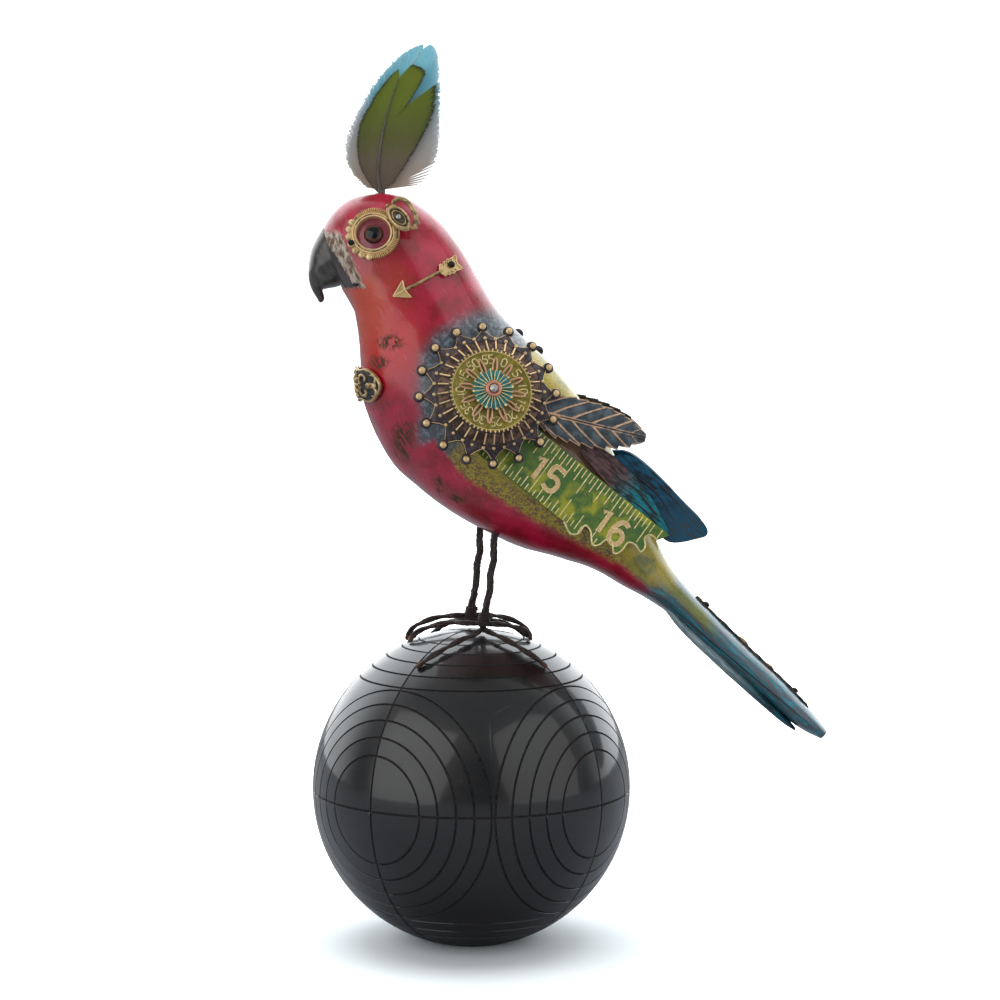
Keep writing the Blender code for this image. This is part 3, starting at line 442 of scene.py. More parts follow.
def makeFloorFinish():
    finish = Finish("paleFloor", {"Roughness": 0.9, "Specular IOR Level": 0.0})
    soft = finish.clouds(90.0, detail=2.0)
    fromMiddle = (finish.x * finish.x + finish.y * finish.y) ** 0.5
    glow = fromMiddle.rise(82.0, 290.0)
    finish.connect(finish.shader.inputs["Emission Color"], (1.0, 1.0, 1.0))
    finish.connect(finish.shader.inputs["Emission Strength"], glow)
    finish.wear(colour=finish.mix(soft, (0.80, 0.85, 0.87), (0.83, 0.88, 0.90)))
    # what the object reflects of the floor is darker than what is seen of it
    dim = finish.get("ShaderNodeBsdfDiffuse", inputs={"Color": (0.20, 0.21, 0.23)})
    seen = finish.get("ShaderNodeLightPath", output="Is Camera Ray")
    both = finish.get("ShaderNodeMixShader", inputs={0: seen, 1: dim,
                                                     2: Signal(finish, finish.shader.outputs[0])})
    finish.connect(finish.tree.nodes["Material Output"].inputs["Surface"], both)
    return finish.material


paints = {
    "ball": makeBallFinish(),
    "bird": makeBirdPaint(),
    "beak": makeHorn("beakHorn", (0.018, 0.015, 0.013), (0.060, 0.052, 0.045)),
    "jaw": makeHorn("jawHorn", (0.10, 0.14, 0.18), (0.36, 0.42, 0.46)),
    "eye": makeEyeGlass(),
    "gold": makeMetal("rubbedGold", (0.78, 0.56, 0.28), (0.10, 0.055, 0.022), (0.42, 0.27, 0.12),
                      (-0.12, 0.18), metallic=0.72),
    "antique": makeMetal("antiqueBrass", (0.72, 0.50, 0.24), (0.026, 0.021, 0.015), (0.11, 0.08, 0.045),
                         (0.0, 0.30), metallic=0.85),
    "recess": makeMetal("bronzeRecess", (0.34, 0.24, 0.14), (0.035, 0.027, 0.022), (0.11, 0.08, 0.055),
                        (0.9, 1.8)),
    "band": makeMetal("brownBand", (0.34, 0.20, 0.13), (0.045, 0.027, 0.020), (0.17, 0.10, 0.07),
                      (0.25, 0.8)),
    "numerals": makePaintedMetal("numeralPeach", [(0.52, 0.32, 0.15), (0.62, 0.42, 0.21),
                                                  (0.34, 0.20, 0.08)], 0.36, 0.3, 1.6),
    "marks": makePaintedMetal("markBrass", [(0.58, 0.46, 0.20), (0.80, 0.68, 0.36), (0.34, 0.24, 0.10)],
                              0.35, 0.45, 1.2),
    "pewter": makeMetal("plaqueBrass", (0.60, 0.42, 0.21), (0.020, 0.024, 0.028), (0.06, 0.065, 0.065),
                        (0.10, 0.38)),
    "black": makeMetal("blackIron", (0.10, 0.085, 0.07), (0.008, 0.008, 0.009), (0.022, 0.018, 0.016),
                       (0.25, 0.7)),
    "steel": makeMetal("nailSteel", (0.62, 0.62, 0.61), (0.16, 0.16, 0.16), (0.36, 0.36, 0.36), (-0.2, 0.3),
                       (0.28, 0.45)),
    "star": makeMetal("starBlack", (0.34, 0.24, 0.18), (0.034, 0.027, 0.032), (0.085, 0.066, 0.072),
                      (0.30, 0.85), tarnish=0.35),
    "copper": makeMetal("petalCopper", (0.72, 0.42, 0.26), (0.06, 0.028, 0.02), (0.26, 0.13, 0.08),
                        (-0.12, 0.25), metallic=0.7),
    "salmon": makeMetal("eyeletCopper", (0.80, 0.36, 0.24), (0.30, 0.11, 0.07), (0.55, 0.24, 0.16),
                        (-0.3, 0.1)),
    "dial": makePaintedMetal("dialOlive", [(0.120, 0.095, 0.008), (0.215, 0.180, 0.014),
                                           (0.070, 0.075, 0.012)], 0.42, 0.3),
    "verdigris": makePaintedMetal("verdigris", [(0.006, 0.105, 0.115), (0.018, 0.20, 0.20),
                                                (0.008, 0.045, 0.055)], 0.5, 0.1, 1.4),
    "rule": makeRulePaint(),
    "leaf": makeLeafPatina(),
    "mauveWing": makeWingPaint("mauveWing", [(0.105, 0.060, 0.058), (0.035, 0.020, 0.020)],
                               [(0.005, 0.15, 0.18), (0.012, 0.025, 0.032)], (-64.0, -54.0)),
    "tealWing": makeWingPaint("tealWing", [(0.001, 0.062, 0.12), (0.006, 0.012, 0.018)],
                              [(0.026, 0.034, 0.040), (0.002, 0.060, 0.11)], (-50.0, -30.0)),
    # the lower tail: teal to the rear, and a pale grey-blue to the front that is partly its paint and
    # partly a painted reflection
    "paleTailSheen": makeWingPaint("paleTailPaint", [(0.13, 0.21, 0.24), (0.27, 0.34, 0.36)],
                              [(0.010, 0.080, 0.115), (0.018, 0.028, 0.034)], (2.0, 28.0), 46),
    "wire": makeCordWire(),
    "paleFeather": makeFeather("paleFeather", [(0.0, (0.33, 0.25, 0.18)), (0.22, (0.34, 0.31, 0.28)),
                               (0.50, (0.30, 0.34, 0.36)), (0.70, (0.13, 0.38, 0.48)),
                                               (1.0, (0.20, 0.52, 0.62))],
                               ((0.62, 0.72, 0.76), 0.35)),
    "greenFeather": makeFeather("greenFeather", [(0.0, (0.085, 0.060, 0.045)),
                                                 (0.25, (0.105, 0.080, 0.050)),
                                (0.42, (0.080, 0.088, 0.020)), (0.7, (0.100, 0.130, 0.008)),
                                                 (1.0, (0.110, 0.145, 0.006))],
                                ((0.012, 0.012, 0.010), 0.85)),
    "quill": makeHorn("quillHorn", (0.035, 0.028, 0.024), (0.085, 0.070, 0.058)),
    "quillPale": makeHorn("quillPale", (0.26, 0.22, 0.19), (0.50, 0.45, 0.40)),
    # dark paint for the carved seams, and for the painted shadow in the slit over the lower tail
    "seam": makePaintedMetal("seamDark", [(0.006, 0.007, 0.009), (0.012, 0.016, 0.02), (0.02, 0.02, 0.02)],
                             0.6, 0.0),
    "floor": makeFloorFinish(),
}
print("finishes made")


def loft(rings):
    bm = bmesh.new()
    loops = [[bm.verts.new(point) for point in ring] for ring in rings]
    for first, second in zip(loops, loops[1:]):
        for i in range(len(first)):
            j = (i + 1) % len(first)
            bm.faces.new((first[i], first[j], second[j], second[i]))
    bm.faces.new(loops[0][::-1])
    bm.faces.new(loops[-1])
    return bm


def smoothPath(points, steps):  # a Catmull-Rom curve through vectors of any length
    points = [Vector(p) for p in points]
    ends = [2 * points[0] - points[1]] + points + [2 * points[-1] - points[-2]]
    path = []
    for a, b, c, d in zip(ends, ends[1:], ends[2:], ends[3:]):
        for k in range(steps):
            t = k / steps
            path.append(0.5 * (2 * b + (c - a) * t + (2 * a - 5 * b + 4 * c - d) * t**2
                               + (3 * b - a - 3 * c + d) * t**3))
    return path + [points[-1]]


def headingAt(path, k):
    return (path[min(k + 1, len(path) - 1)] - path[max(k - 1, 0)]).normalized()


def tube(path, radius, sides=8, flat=1.0, normals=None):
    # A rod along a path. A list of radii lets it taper; flat squashes it towards the given normals.
    radii = radius if isinstance(radius, list) else [radius] * len(path)
    rings = []
    across = None
    for i, point in enumerate(path):
        ahead = headingAt(path, i)
        if normals:
            across = ahead.cross(normals[i]).normalized()
        elif across is None:
            across = ahead.orthogonal().normalized()
        across = (across - ahead * across.dot(ahead)).normalized()
        up = ahead.cross(across) * flat
        turns = [2 * pi * k / sides for k in range(sides)]
        rings.append([point + (across * cos(t) + up * sin(t)) * radii[i] for t in turns])
    return loft(rings)


def turnedShape(profile, segments):  # spins a closed profile of (radius, height); radius 0 stays one point
    bm = bmesh.new()
    loops = []
    for radius, height in profile:
        count = segments if radius > 0 else 1
        turns = [2 * pi * k / segments for k in range(count)]
        loops.append([bm.verts.new((radius * cos(t), radius * sin(t), height)) for t in turns])
    closed = loops + ([loops[0]] if profile[0][0] > 0 else [])
    for first, second in zip(closed, closed[1:]):
        for i in range(segments):
            j = (i + 1) % segments
            ring = [first[i % len(first)], first[j % len(first)], second[j % len(second)],
                    second[i % len(second)]]
            ring = list(dict.fromkeys(ring))
            if len(ring) > 2:
                bm.faces.new(ring)
    return bm


def lump(shape, radius=1.0):
    bm = bmesh.new()
    bmesh.ops.create_icosphere(bm, subdivisions=3, radius=radius, matrix=shape)
    return bm


def plate(outline, thick, bottom=0.0):  # a flat plate in the XY plane
    bm = bmesh.new()
    triangles = tessellate_polygon([[Vector((a, b, 0.0)) for a, b in outline]])
    low = [bm.verts.new((a, b, bottom)) for a, b in outline]
    top = [bm.verts.new((a, b, bottom + thick)) for a, b in outline]
    for triangle in triangles:
        bm.faces.new([low[i] for i in triangle])
        bm.faces.new([top[i] for i in triangle])
    for i in range(len(outline)):
        j = (i + 1) % len(outline)
        bm.faces.new((low[i], low[j], top[j], top[i]))
    return bm


def slab(rows, under):  # a closed solid between a grid of points and the same grid moved by a function
    bm = bmesh.new()
    top = [[bm.verts.new(p) for p in row] for row in rows]
    low = [[bm.verts.new(under(r, c, p)) for c, p in enumerate(row)] for r, row in enumerate(rows)]
    for grid in (top, low):
        for first, second in zip(grid, grid[1:]):
            for i in range(len(first) - 1):
                bm.faces.new((first[i], first[i + 1], second[i + 1], second[i]))
    last = len(rows[0]) - 1
    for r in range(len(rows) - 1):
        for c in (0, last):
            bm.faces.new((top[r][c], top[r + 1][c], low[r + 1][c], low[r][c]))
    for r in (0, len(rows) - 1):
        for c in range(last):
            bm.faces.new((top[r][c], top[r][c + 1], low[r][c + 1], low[r][c]))
    return bm


def joined(parts):
    whole = bmesh.new()
    for part in parts:
        mesh = bpy.data.meshes.new("part")
        part.to_mesh(mesh)
        part.free()
        whole.from_mesh(mesh)
        bpy.data.meshes.remove(mesh)
    return whole


def markWear(bm):  # how far each point stands out from its neighbours, 0 where flat
    bm.normal_update()
    layer = bm.verts.layers.float.get("wear") or bm.verts.layers.float.new("wear")
    for vert in bm.verts:
        pull = [(edge.other_vert(vert).co - vert.co).normalized().dot(vert.normal)
                for edge in vert.link_edges]
        vert[layer] = -sum(pull) / max(len(pull), 1)


def addPiece(name, bm, paint, slot, nodes=(), body="figure", place=None, sharp=40, bevel=None, merge=0.002):
    # place is a matrix or a function that takes a local point, in millimetres, to its final place
    bmesh.ops.remove_doubles(bm, verts=bm.verts, dist=merge)
    bmesh.ops.recalc_face_normals(bm, faces=bm.faces)
    if bevel:
        edges = [e for e in bm.edges if len(e.link_faces) == 2 and e.calc_face_angle() > radians(bevel[2])]
        bmesh.ops.bevel(bm, geom=edges, offset=bevel[0], segments=bevel[1], affect="EDGES",
                        clamp_overlap=True)
    markWear(bm)
    if callable(place):
        for vert in bm.verts:
            vert.co = place(vert.co)
    elif place:
        bmesh.ops.transform(bm, matrix=place, verts=bm.verts)
    if place and (callable(place) or place.determinant() < 0):
        bmesh.ops.recalc_face_normals(bm, faces=bm.faces)
    bmesh.ops.scale(bm, verts=bm.verts, vec=(metres,) * 3)
    mesh = bpy.data.meshes.new(name)
    bm.to_mesh(mesh)
    bm.free()
    mesh.shade_smooth()
    mesh.set_sharp_from_angle(angle=radians(sharp))
    mesh.materials.append(paints[paint])
    piece = bpy.data.objects.new(name, mesh)
    bpy.context.scene.collection.objects.link(piece)
    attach(piece, body)
    if nodes:
        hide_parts(*nodes)
    return piece


def addPair(name, bm, paint, slot, nodes=(), place=None, **options):
    # the left piece and its mirror image
    other = bm.copy()

    def seatRight(co):
        return flip @ place(co)

    placeRight = seatRight if callable(place) else flip @ (place or Matrix())
    addPiece("left_" + name, bm, paint, slot, ["left_" + n for n in nodes], place=place, **options)
    addPiece("right_" + name, other, paint, slot, ["right_" + n for n in nodes], place=placeRight,
             **options)


def facing(normal, at, side=-1):
    # a matrix whose Z is the normal, whose X is the viewer's right and whose Y is up
    normal = Vector(normal).normalized()
    right = Vector((-side, 0.0, 0.0))
    right = (right - normal * right.dot(normal)).normalized()
    up = normal.cross(right)
    turn = Matrix((right, up, normal)).transposed().to_4x4()
    return Matrix.Translation(Vector(at)) @ turn


def squared(ahead, across):  # three directions at right angles, the third on the viewer's side
    ahead = Vector(ahead).normalized()
    across = Vector(across)
    across = (across - ahead * across.dot(ahead)).normalized()
    out = ahead.cross(across)
    return ahead, across, out if out.y < 0 else -out


def along(direction, at):
    turn = Vector(direction).normalized().to_track_quat("Z", "Y").to_matrix().to_4x4()
    return Matrix.Translation(Vector(at)) @ turn


class Recipe(NodeMaker):
    def __init__(self, name, sizes):
        tree = bpy.data.node_groups.new(name, "GeometryNodeTree")
        super().__init__(tree)
        tree.interface.new_socket(name="Geometry", in_out="INPUT", socket_type="NodeSocketGeometry")
        tree.interface.new_socket(name="Geometry", in_out="OUTPUT", socket_type="NodeSocketGeometry")
        kinds = {int: "NodeSocketInt", float: "NodeSocketFloat", tuple: "NodeSocketVector"}
        for size, value in sizes.items():
            kind = kinds.get(type(value), "NodeSocketMaterial")
            socket = tree.interface.new_socket(name=size, in_out="INPUT", socket_type=kind)
            if value is not None:
                socket.default_value = value
        self.entry = self.add("NodeGroupInput")

    def size(self, name):
        return Signal(self, self.entry.outputs[name])

    def serve(self, geometry):  # every tree ends the same way
        real = self.get("GeometryNodeRealizeInstances", inputs={0: geometry})
        done = self.get("GeometryNodeSetMaterial",
                        inputs={"Geometry": real, "Material": self.size("Paint")})
        self.add("NodeGroupOutput", inputs={0: done})
        return self.tree


def ringRecipe(shape):
    # Copies of a bar, bead or loop along an arc, each pointing outwards.
    recipe = Recipe("ring of " + shape, {"Count": 12, "Radius": 10.0, "Start": 0.0, "Sweep": 2 * pi,
                                         "Lift": 0.0, "Slope": 0.0, "Size": (1.0, 0.3, 0.3), "Jitter": 0.0,
                                         "Seed": 1, "Paint": None})
    if shape == "bar":
        unit = recipe.get("GeometryNodeMeshCylinder", inputs={"Vertices": 8, "Radius": 1.0, "Depth": 1.0})
        unit = recipe.get("GeometryNodeTransform",
                          inputs={"Geometry": unit, "Rotation": (0.0, pi / 2, 0.0)})
        unit = recipe.get("GeometryNodeTransform",
                          inputs={"Geometry": unit, "Translation": (0.5, 0.0, 0.0)})
    elif shape == "bead":
        unit = recipe.get("GeometryNodeMeshIcoSphere", inputs={"Radius": 1.0, "Subdivisions": 3})
    else:
        circle = recipe.get("GeometryNodeCurvePrimitiveCircle", inputs={"Resolution": 28, "Radius": 1.0})
        circle = recipe.get("GeometryNodeTransform", inputs={"Geometry": circle, "Scale": (1.0, 0.29, 1.0)})
        wire = recipe.get("GeometryNodeCurvePrimitiveCircle", inputs={"Resolution": 8, "Radius": 0.13})
        unit = recipe.get("GeometryNodeCurveToMesh", inputs={"Curve": circle, "Profile Curve": wire})
    dots = recipe.get("GeometryNodeMeshLine", inputs={"Count": recipe.size("Count"),
                                                      "Offset": (0.0, 0.0, 0.0)})
    index = recipe.get("GeometryNodeInputIndex")
    turn = recipe.size("Start") + index * recipe.size("Sweep") / recipe.size("Count")
    wobble = recipe.get("FunctionNodeRandomValue",
                        inputs={2: -1.0, 3: 1.0, "ID": index, "Seed": recipe.size("Seed")},
                        output=1)
    wobble = wobble * recipe.size("Jitter")
    turn = turn + wobble * 0.06
    x = turn.math("COSINE", turn) * recipe.size("Radius")
    y = turn.math("SINE", turn) * recipe.size("Radius")
    spot = recipe.get("ShaderNodeCombineXYZ", inputs={0: x, 1: y, 2: recipe.size("Lift")})
    dots = recipe.get("GeometryNodeSetPosition", inputs={"Geometry": dots, "Position": spot})
    aim = recipe.get("ShaderNodeCombineXYZ", inputs={0: 0.0, 1: recipe.size("Slope"), 2: turn})
    grown = recipe.get("ShaderNodeVectorMath", {"operation": "SCALE"},
                       {0: recipe.size("Size"), "Scale": 1.0 + wobble * 0.5})
    inputs = {"Points": dots, "Instance": unit, "Rotation": aim, "Scale": grown}
    return recipe.serve(recipe.get("GeometryNodeInstanceOnPoints", inputs=inputs))


def markRecipe():
    # The marks of a rule along one edge: longer at every second, fourth and eighth.
    recipe = Recipe("rule marks", {"Count": 40, "Pitch": 1.6, "First": 0, "Width": 0.22, "High": 0.2,
                                   "Lengths": (3.0, 5.4, 7.0), "Longest": 8.6, "Paint": None})
    dots = recipe.get("GeometryNodeMeshLine", inputs={"Count": recipe.size("Count"),
                                                      "Offset": (0.0, 0.0, 0.0)})
    index = recipe.get("GeometryNodeInputIndex") + recipe.size("First")
    split = recipe.add("ShaderNodeSeparateXYZ", inputs={0: recipe.size("Lengths")})
    steps = [Signal(recipe, split.outputs[k]) for k in range(3)] + [recipe.size("Longest")]
    reach = steps[0]
    for every, length in zip((2, 4, 8), steps[1:]):
        left = index.math("MODULO", index + 640.0, float(every))
        whole = left.math("LESS_THAN", left, 0.5)
        reach = reach * (1.0 - whole) + length * whole
    spot = recipe.get("ShaderNodeCombineXYZ", inputs={0: index * recipe.size("Pitch")})
    dots = recipe.get("GeometryNodeSetPosition", inputs={"Geometry": dots, "Position": spot})
    cube = recipe.get("GeometryNodeMeshCube", inputs={"Size": (1.0, 1.0, 1.0)})
    cube = recipe.get("GeometryNodeTransform", inputs={"Geometry": cube, "Translation": (0.0, 0.5, 0.5)})
    grown = recipe.get("ShaderNodeCombineXYZ", inputs={0: recipe.size("Width"), 1: reach,
                                                       2: recipe.size("High")})
    inputs = {"Points": dots, "Instance": cube, "Scale": grown}
    return recipe.serve(recipe.get("GeometryNodeInstanceOnPoints", inputs=inputs))


def strandRecipe(strands):
    # Strands laid round a path like the wires of a rope.
    recipe = Recipe(f"{strands} strands", {"Count": 60, "Wire": 0.6, "Offset": 0.6, "Twist": 1.0,
                                           "Paint": None})
    path = recipe.get("GeometryNodeMeshToCurve", inputs={"Mesh": recipe.size("Geometry")})
    path = recipe.get("GeometryNodeResampleCurve", inputs={"Curve": path, "Count": recipe.size("Count")})
    length = recipe.get("GeometryNodeSplineParameter", output="Length")
    ahead = recipe.get("GeometryNodeInputTangent")
    out = recipe.get("GeometryNodeInputNormal")
    wire = recipe.get("GeometryNodeCurvePrimitiveCircle",
                      inputs={"Resolution": 8, "Radius": recipe.size("Wire")})
    rope = recipe.add("GeometryNodeJoinGeometry")
    for k in range(strands):
        turn = length * recipe.size("Twist") + 2 * pi * k / strands
        away = recipe.get("ShaderNodeVectorRotate", inputs={"Vector": out, "Axis": ahead, "Angle": turn})
        away = recipe.get("ShaderNodeVectorMath", {"operation": "SCALE"},
                          {0: away, "Scale": recipe.size("Offset")})
        strand = recipe.get("GeometryNodeSetPosition", inputs={"Geometry": path, "Offset": away})
        strand = recipe.get("GeometryNodeCurveToMesh",
                            inputs={"Curve": strand, "Profile Curve": wire, "Fill Caps": True})
        recipe.connect(rope.inputs[0], strand)
    return recipe.serve(Signal(recipe, rope.outputs[0]))


def barbRecipe():
    # One barb on each point; the points carry its aim and its reach.
    recipe = Recipe("barbs", {"Width": 0.3, "Droop": 0.12, "Jitter": 0.05, "Seed": 3, "Paint": None})
    strip = recipe.get("GeometryNodeMeshGrid", inputs={"Size X": 1.0, "Size Y": 1.0, "Vertices X": 8,
                                                       "Vertices Y": 2})
    strip = recipe.get("GeometryNodeTransform", inputs={"Geometry": strip, "Translation": (0.5, 0.0, 0.0)})
    split = recipe.add("ShaderNodeSeparateXYZ", inputs={0: recipe.get("GeometryNodeInputPosition")})
    x, y = Signal(recipe, split.outputs[0]), Signal(recipe, split.outputs[1])
    narrow = y * (1.0 - (x ** 3.0) * 0.5)
    curve = (x * x - x) * recipe.size("Droop")
    shape = recipe.get("ShaderNodeCombineXYZ", inputs={0: x, 1: curve, 2: narrow})
    strip = recipe.get("GeometryNodeSetPosition", inputs={"Geometry": strip, "Position": shape})
    strip = recipe.get("GeometryNodeStoreNamedAttribute", {"data_type": "FLOAT"},
                       {"Geometry": strip, "Name": "tip", "Value": x})
    aim = recipe.get("GeometryNodeInputNamedAttribute", {"data_type": "FLOAT_VECTOR"}, {"Name": "aim"})
    reach = recipe.get("GeometryNodeInputNamedAttribute", {"data_type": "FLOAT"}, {"Name": "reach"})
    index = recipe.get("GeometryNodeInputIndex")
    wobble = recipe.get("FunctionNodeRandomValue",
                        inputs={2: -1.0, 3: 1.0, "ID": index, "Seed": recipe.size("Seed")},
                        output=1) * recipe.size("Jitter")
    grown = recipe.get("ShaderNodeCombineXYZ", inputs={0: reach * (1.0 + wobble), 1: reach,
                                                       2: recipe.size("Width")})
    inputs = {"Points": recipe.size("Geometry"), "Instance": strip, "Rotation": aim, "Scale": grown}
    return recipe.serve(recipe.get("GeometryNodeInstanceOnPoints", inputs=inputs))


recipes = {shape: ringRecipe(shape) for shape in ("bar", "bead", "loop")}
recipes.update({"marks": markRecipe(), "strands2": strandRecipe(2), "strands3": strandRecipe(3),
                "barbs": barbRecipe()})


def grow(recipe, sizes, paint, base=None):
    # Runs a tree on a mesh and returns the result, in millimetres, with the tree taken off again.
    holder = bpy.data.objects.new("grower", base or bpy.data.meshes.new("seed"))
    bpy.context.scene.collection.objects.link(holder)
    modifier = holder.modifiers.new("grow", "NODES")
    modifier.node_group = recipes[recipe]
    values = dict(sizes, Paint=paints[paint])
    for item in modifier.node_group.interface.items_tree:
        if item.in_out == "INPUT" and item.name in values:
            modifier[item.identifier] = values[item.name]
    graph = bpy.context.evaluated_depsgraph_get()
    mesh = bpy.data.meshes.new_from_object(holder.evaluated_get(graph), depsgraph=graph)
    bpy.data.objects.remove(holder)
    bm = bmesh.new()
    bm.from_mesh(mesh)
    bpy.data.meshes.remove(mesh)
    return bm


def pathMesh(points):
    mesh = bpy.data.meshes.new("path")
    mesh.from_pydata([tuple(p) for p in points], [(i, i + 1) for i in range(len(points) - 1)], [])
    return mesh


studio = {
    "camera": (9.62, -937.35, 233.60), "tilt": 5.198, "lens": 101.33,
    "floor": 6000.0, "world": 0.12, "behind": 2.1, "above": 0.25, "backdrop": 1.4,
    "lights": [  # place, aim, width and height, watts, whether gloss shows it
        ((-700, -640, 420), (0, 0, 160), (1100, 1300), 6.0, True),
        ((760, -560, 380), (0, 0, 160), (1100, 1300), 3.8, True),
        ((0, 60, 900), (0, 0, 100), (900, 700), 8.0, False),
        ((-420, 620, 300), (0, 0, 160), (600, 800), 2.2, False),
        ((460, 600, 300), (0, 0, 160), (600, 800), 2.2, False),
        ((0, -1500, 260), (0, 0, 150), (900, 900), 6.0, False),
    ],
}


def buildStudio():
    camera = bpy.data.objects.new("camera", bpy.data.cameras.new("camera"))
    camera.data.lens = studio["lens"]
    camera.data.sensor_width = 36.0
    camera.data.clip_start = 0.01
    camera.data.clip_end = 50.0
    camera.location = Vector(studio["camera"]) * metres
    camera.rotation_euler = (radians(90 - studio["tilt"]), 0.0, 0.0)
    bpy.context.scene.collection.objects.link(camera)
    bpy.context.scene.camera = camera

    mesh = bpy.data.meshes.new("floor")
    half = studio["floor"] * metres
    mesh.from_pydata([(-half, -half, 0), (half, -half, 0), (half, half, 0), (-half, half, 0)], [],
                     [(0, 1, 2, 3)])
    mesh.materials.append(paints["floor"])
    floor = bpy.data.objects.new("floor", mesh)
    bpy.context.scene.collection.objects.link(floor)

    for number, (place, aim, size, power, glossy) in enumerate(studio["lights"]):
        lamp = bpy.data.lights.new(f"softbox{number}", "AREA")
        lamp.shape = "RECTANGLE"
        lamp.size, lamp.size_y = size[0] * metres, size[1] * metres
        lamp.energy = power
        light = bpy.data.objects.new(lamp.name, lamp)
        light.location = Vector(place) * metres
        light.visible_glossy = glossy
        light.rotation_euler = (Vector(aim) - Vector(place)).to_track_quat("-Z", "Y").to_euler()
        bpy.context.scene.collection.objects.link(light)

    world = bpy.data.worlds.new("studio")
    world.use_nodes = True
    sky = NodeMaker(world.node_tree)
    seen = sky.get("ShaderNodeLightPath", output="Is Camera Ray")
    split = sky.add("ShaderNodeSeparateXYZ", inputs={0: sky.get("ShaderNodeTexCoord", output="Generated")})
    behind = Signal(sky, split.outputs[1]).rise(0.0, 0.62)
    above = Signal(sky, split.outputs[2]).rise(0.25, 1.0)
    level = studio["world"] + behind * studio["behind"] + above * studio["above"]
    back = world.node_tree.nodes["Background"]
    sky.connect(back.inputs["Color"], (0.93, 0.97, 1.0))
    sky.connect(back.inputs["Strength"], level * (1.0 - seen) + seen * studio["backdrop"])
    bpy.context.scene.world = world
    bpy.context.scene.view_settings.view_transform = "Standard"


buildStudio()
print("studio ready")


ballLook = {"radius": 53.5, "foot": 15.0, "turn": -36.87, "rings": [19.3, 25.8, 32.2, 38.5, 44.4],
            "half": 0.36, "bed": 0.15, "deep": 0.42, "across": 18}


def buildBall():
    look = ballLook
    radius = look["radius"]
    half, bed = look["half"] / radius, look["bed"] / radius
    rings = [radians(a) for a in look["rings"]]
    tilts = [0.62 / radius, radians(2), radians(5), radians(8.5), radians(12), asin(look["foot"] / radius),
             radians(17.8)]
    for ring in rings:
        tilts += [ring - half, ring - bed, ring + bed, ring + half]
    tilts += [(a + b) / 2 for a, b in zip(rings, rings[1:])]
    tilts = sorted(tilts) + [pi / 4]

    def sunk(direction, ringGap):
        gap = min([ringGap] + [asin(min(abs(part), 1.0)) for part in direction])
        if gap >= half - 1e-6:
            return 0.0
        return 1.0 if gap <= bed + 1e-6 else (half - gap) / (half - bed)

    bm = bmesh.new()
    groove = bm.verts.layers.float.new("groove")
    centre = Vector((0.0, 0.0, sqrt(radius**2 - look["foot"]**2)))
    turn = Matrix.Rotation(radians(look["turn"]), 3, "Z")

    def dot(direction, ringGap=1.0):
        low = sunk(direction, ringGap)
        spot = centre + turn @ direction * (radius - look["deep"] * low)
        spot.z = max(spot.z, 0.0)
        vert = bm.verts.new(spot)
        vert[groove] = low
        return vert

    axes = [Vector((1, 0, 0)), Vector((0, 1, 0)), Vector((0, 0, 1))]
    rims = {}
    for k in range(3):
        for sign in (-1, 1):
            pole, first, second = axes[k] * sign, axes[(k + 1) % 3], axes[(k + 2) % 3]
            grid = []
            for tilt in tilts:
                wide, narrow = (asin(min(sin(w) / sin(tilt), 1.0)) for w in (half, bed))
                angles = []
                for quarter in range(4):
                    base = quarter * pi / 2
                    step = (pi / 2 - 2 * wide) / look["across"]
                    angles += [base - narrow, base + narrow]
                    angles += [base + wide + step * i for i in range(look["across"] + 1)]
                ringGap = min(abs(tilt - ring) for ring in rings)
                grid.append([dot(pole * cos(tilt) + (first * cos(a) + second * sin(a)) * sin(tilt), ringGap)
                             for a in angles])
            top = dot(pole)
            count = len(grid[0])
            for i in range(count):
                j = (i + 1) % count
                bm.faces.new((top, grid[0][i], grid[0][j]))
                for low, high in zip(grid, grid[1:]):
                    bm.faces.new((low[i], high[i], high[j], low[j]))
            share = count // 4
            for quarter in range(4):
                rims[(k, sign, quarter)] = grid[-1][quarter * share + 2:(quarter + 1) * share]

    # The eight corners between three rims each.
    signs = (-1, 1)
    quarterOf = {(1, 1): 0, (-1, 1): 1, (-1, -1): 2, (1, -1): 3}
    for sx in signs:
        for sy in signs:
            for sz in signs:
                corner = [sx, sy, sz]
                middle = Vector(corner).normalized()
                loop = []
                for k in range(3):
                    rim = rims[(k, corner[k], quarterOf[(corner[(k + 1) % 3], corner[(k + 2) % 3])])]
                    loop.append(list(rim))
                arcs = orderArcs(loop)
                previous = arcs
                unturn = turn.inverted()
                outward = [(unturn @ (v.co - centre)).normalized() for v in arcs]
                for share in (0.04, 0.09, 0.15, 0.22, 0.30, 0.39, 0.49, 0.60, 0.72, 0.86):
                    fresh = [dot(way.slerp(middle, share)) for way in outward]
                    for i in range(len(arcs)):
                        j = (i + 1) % len(arcs)
                        bm.faces.new((previous[i], previous[j], fresh[j], fresh[i]))
                    previous = fresh
                heart = dot(middle)
                for i in range(len(arcs)):
                    bm.faces.new((previous[i], previous[(i + 1) % len(arcs)], heart))
    addPiece("groovedBall", bm, "ball", "black_ball", ["ball"], merge=0.005, sharp=50)


def orderArcs(arcs):
    # Puts three rims head to tail as one loop; their end points meet, so each is used once.
    first, rest = arcs[0], arcs[1:]
    chain = list(first)
    while rest:
        near = min(((arc, flip) for arc in rest for flip in (False, True)),
                   key=lambda pair: ((pair[0][-1] if pair[1] else pair[0][0]).co - chain[-1].co).length)
        arc, flip = near
        rest = [other for other in rest if other is not arc]
        chain += (list(arc)[::-1] if flip else list(arc))
    return chain


buildBall()
print("ball done")


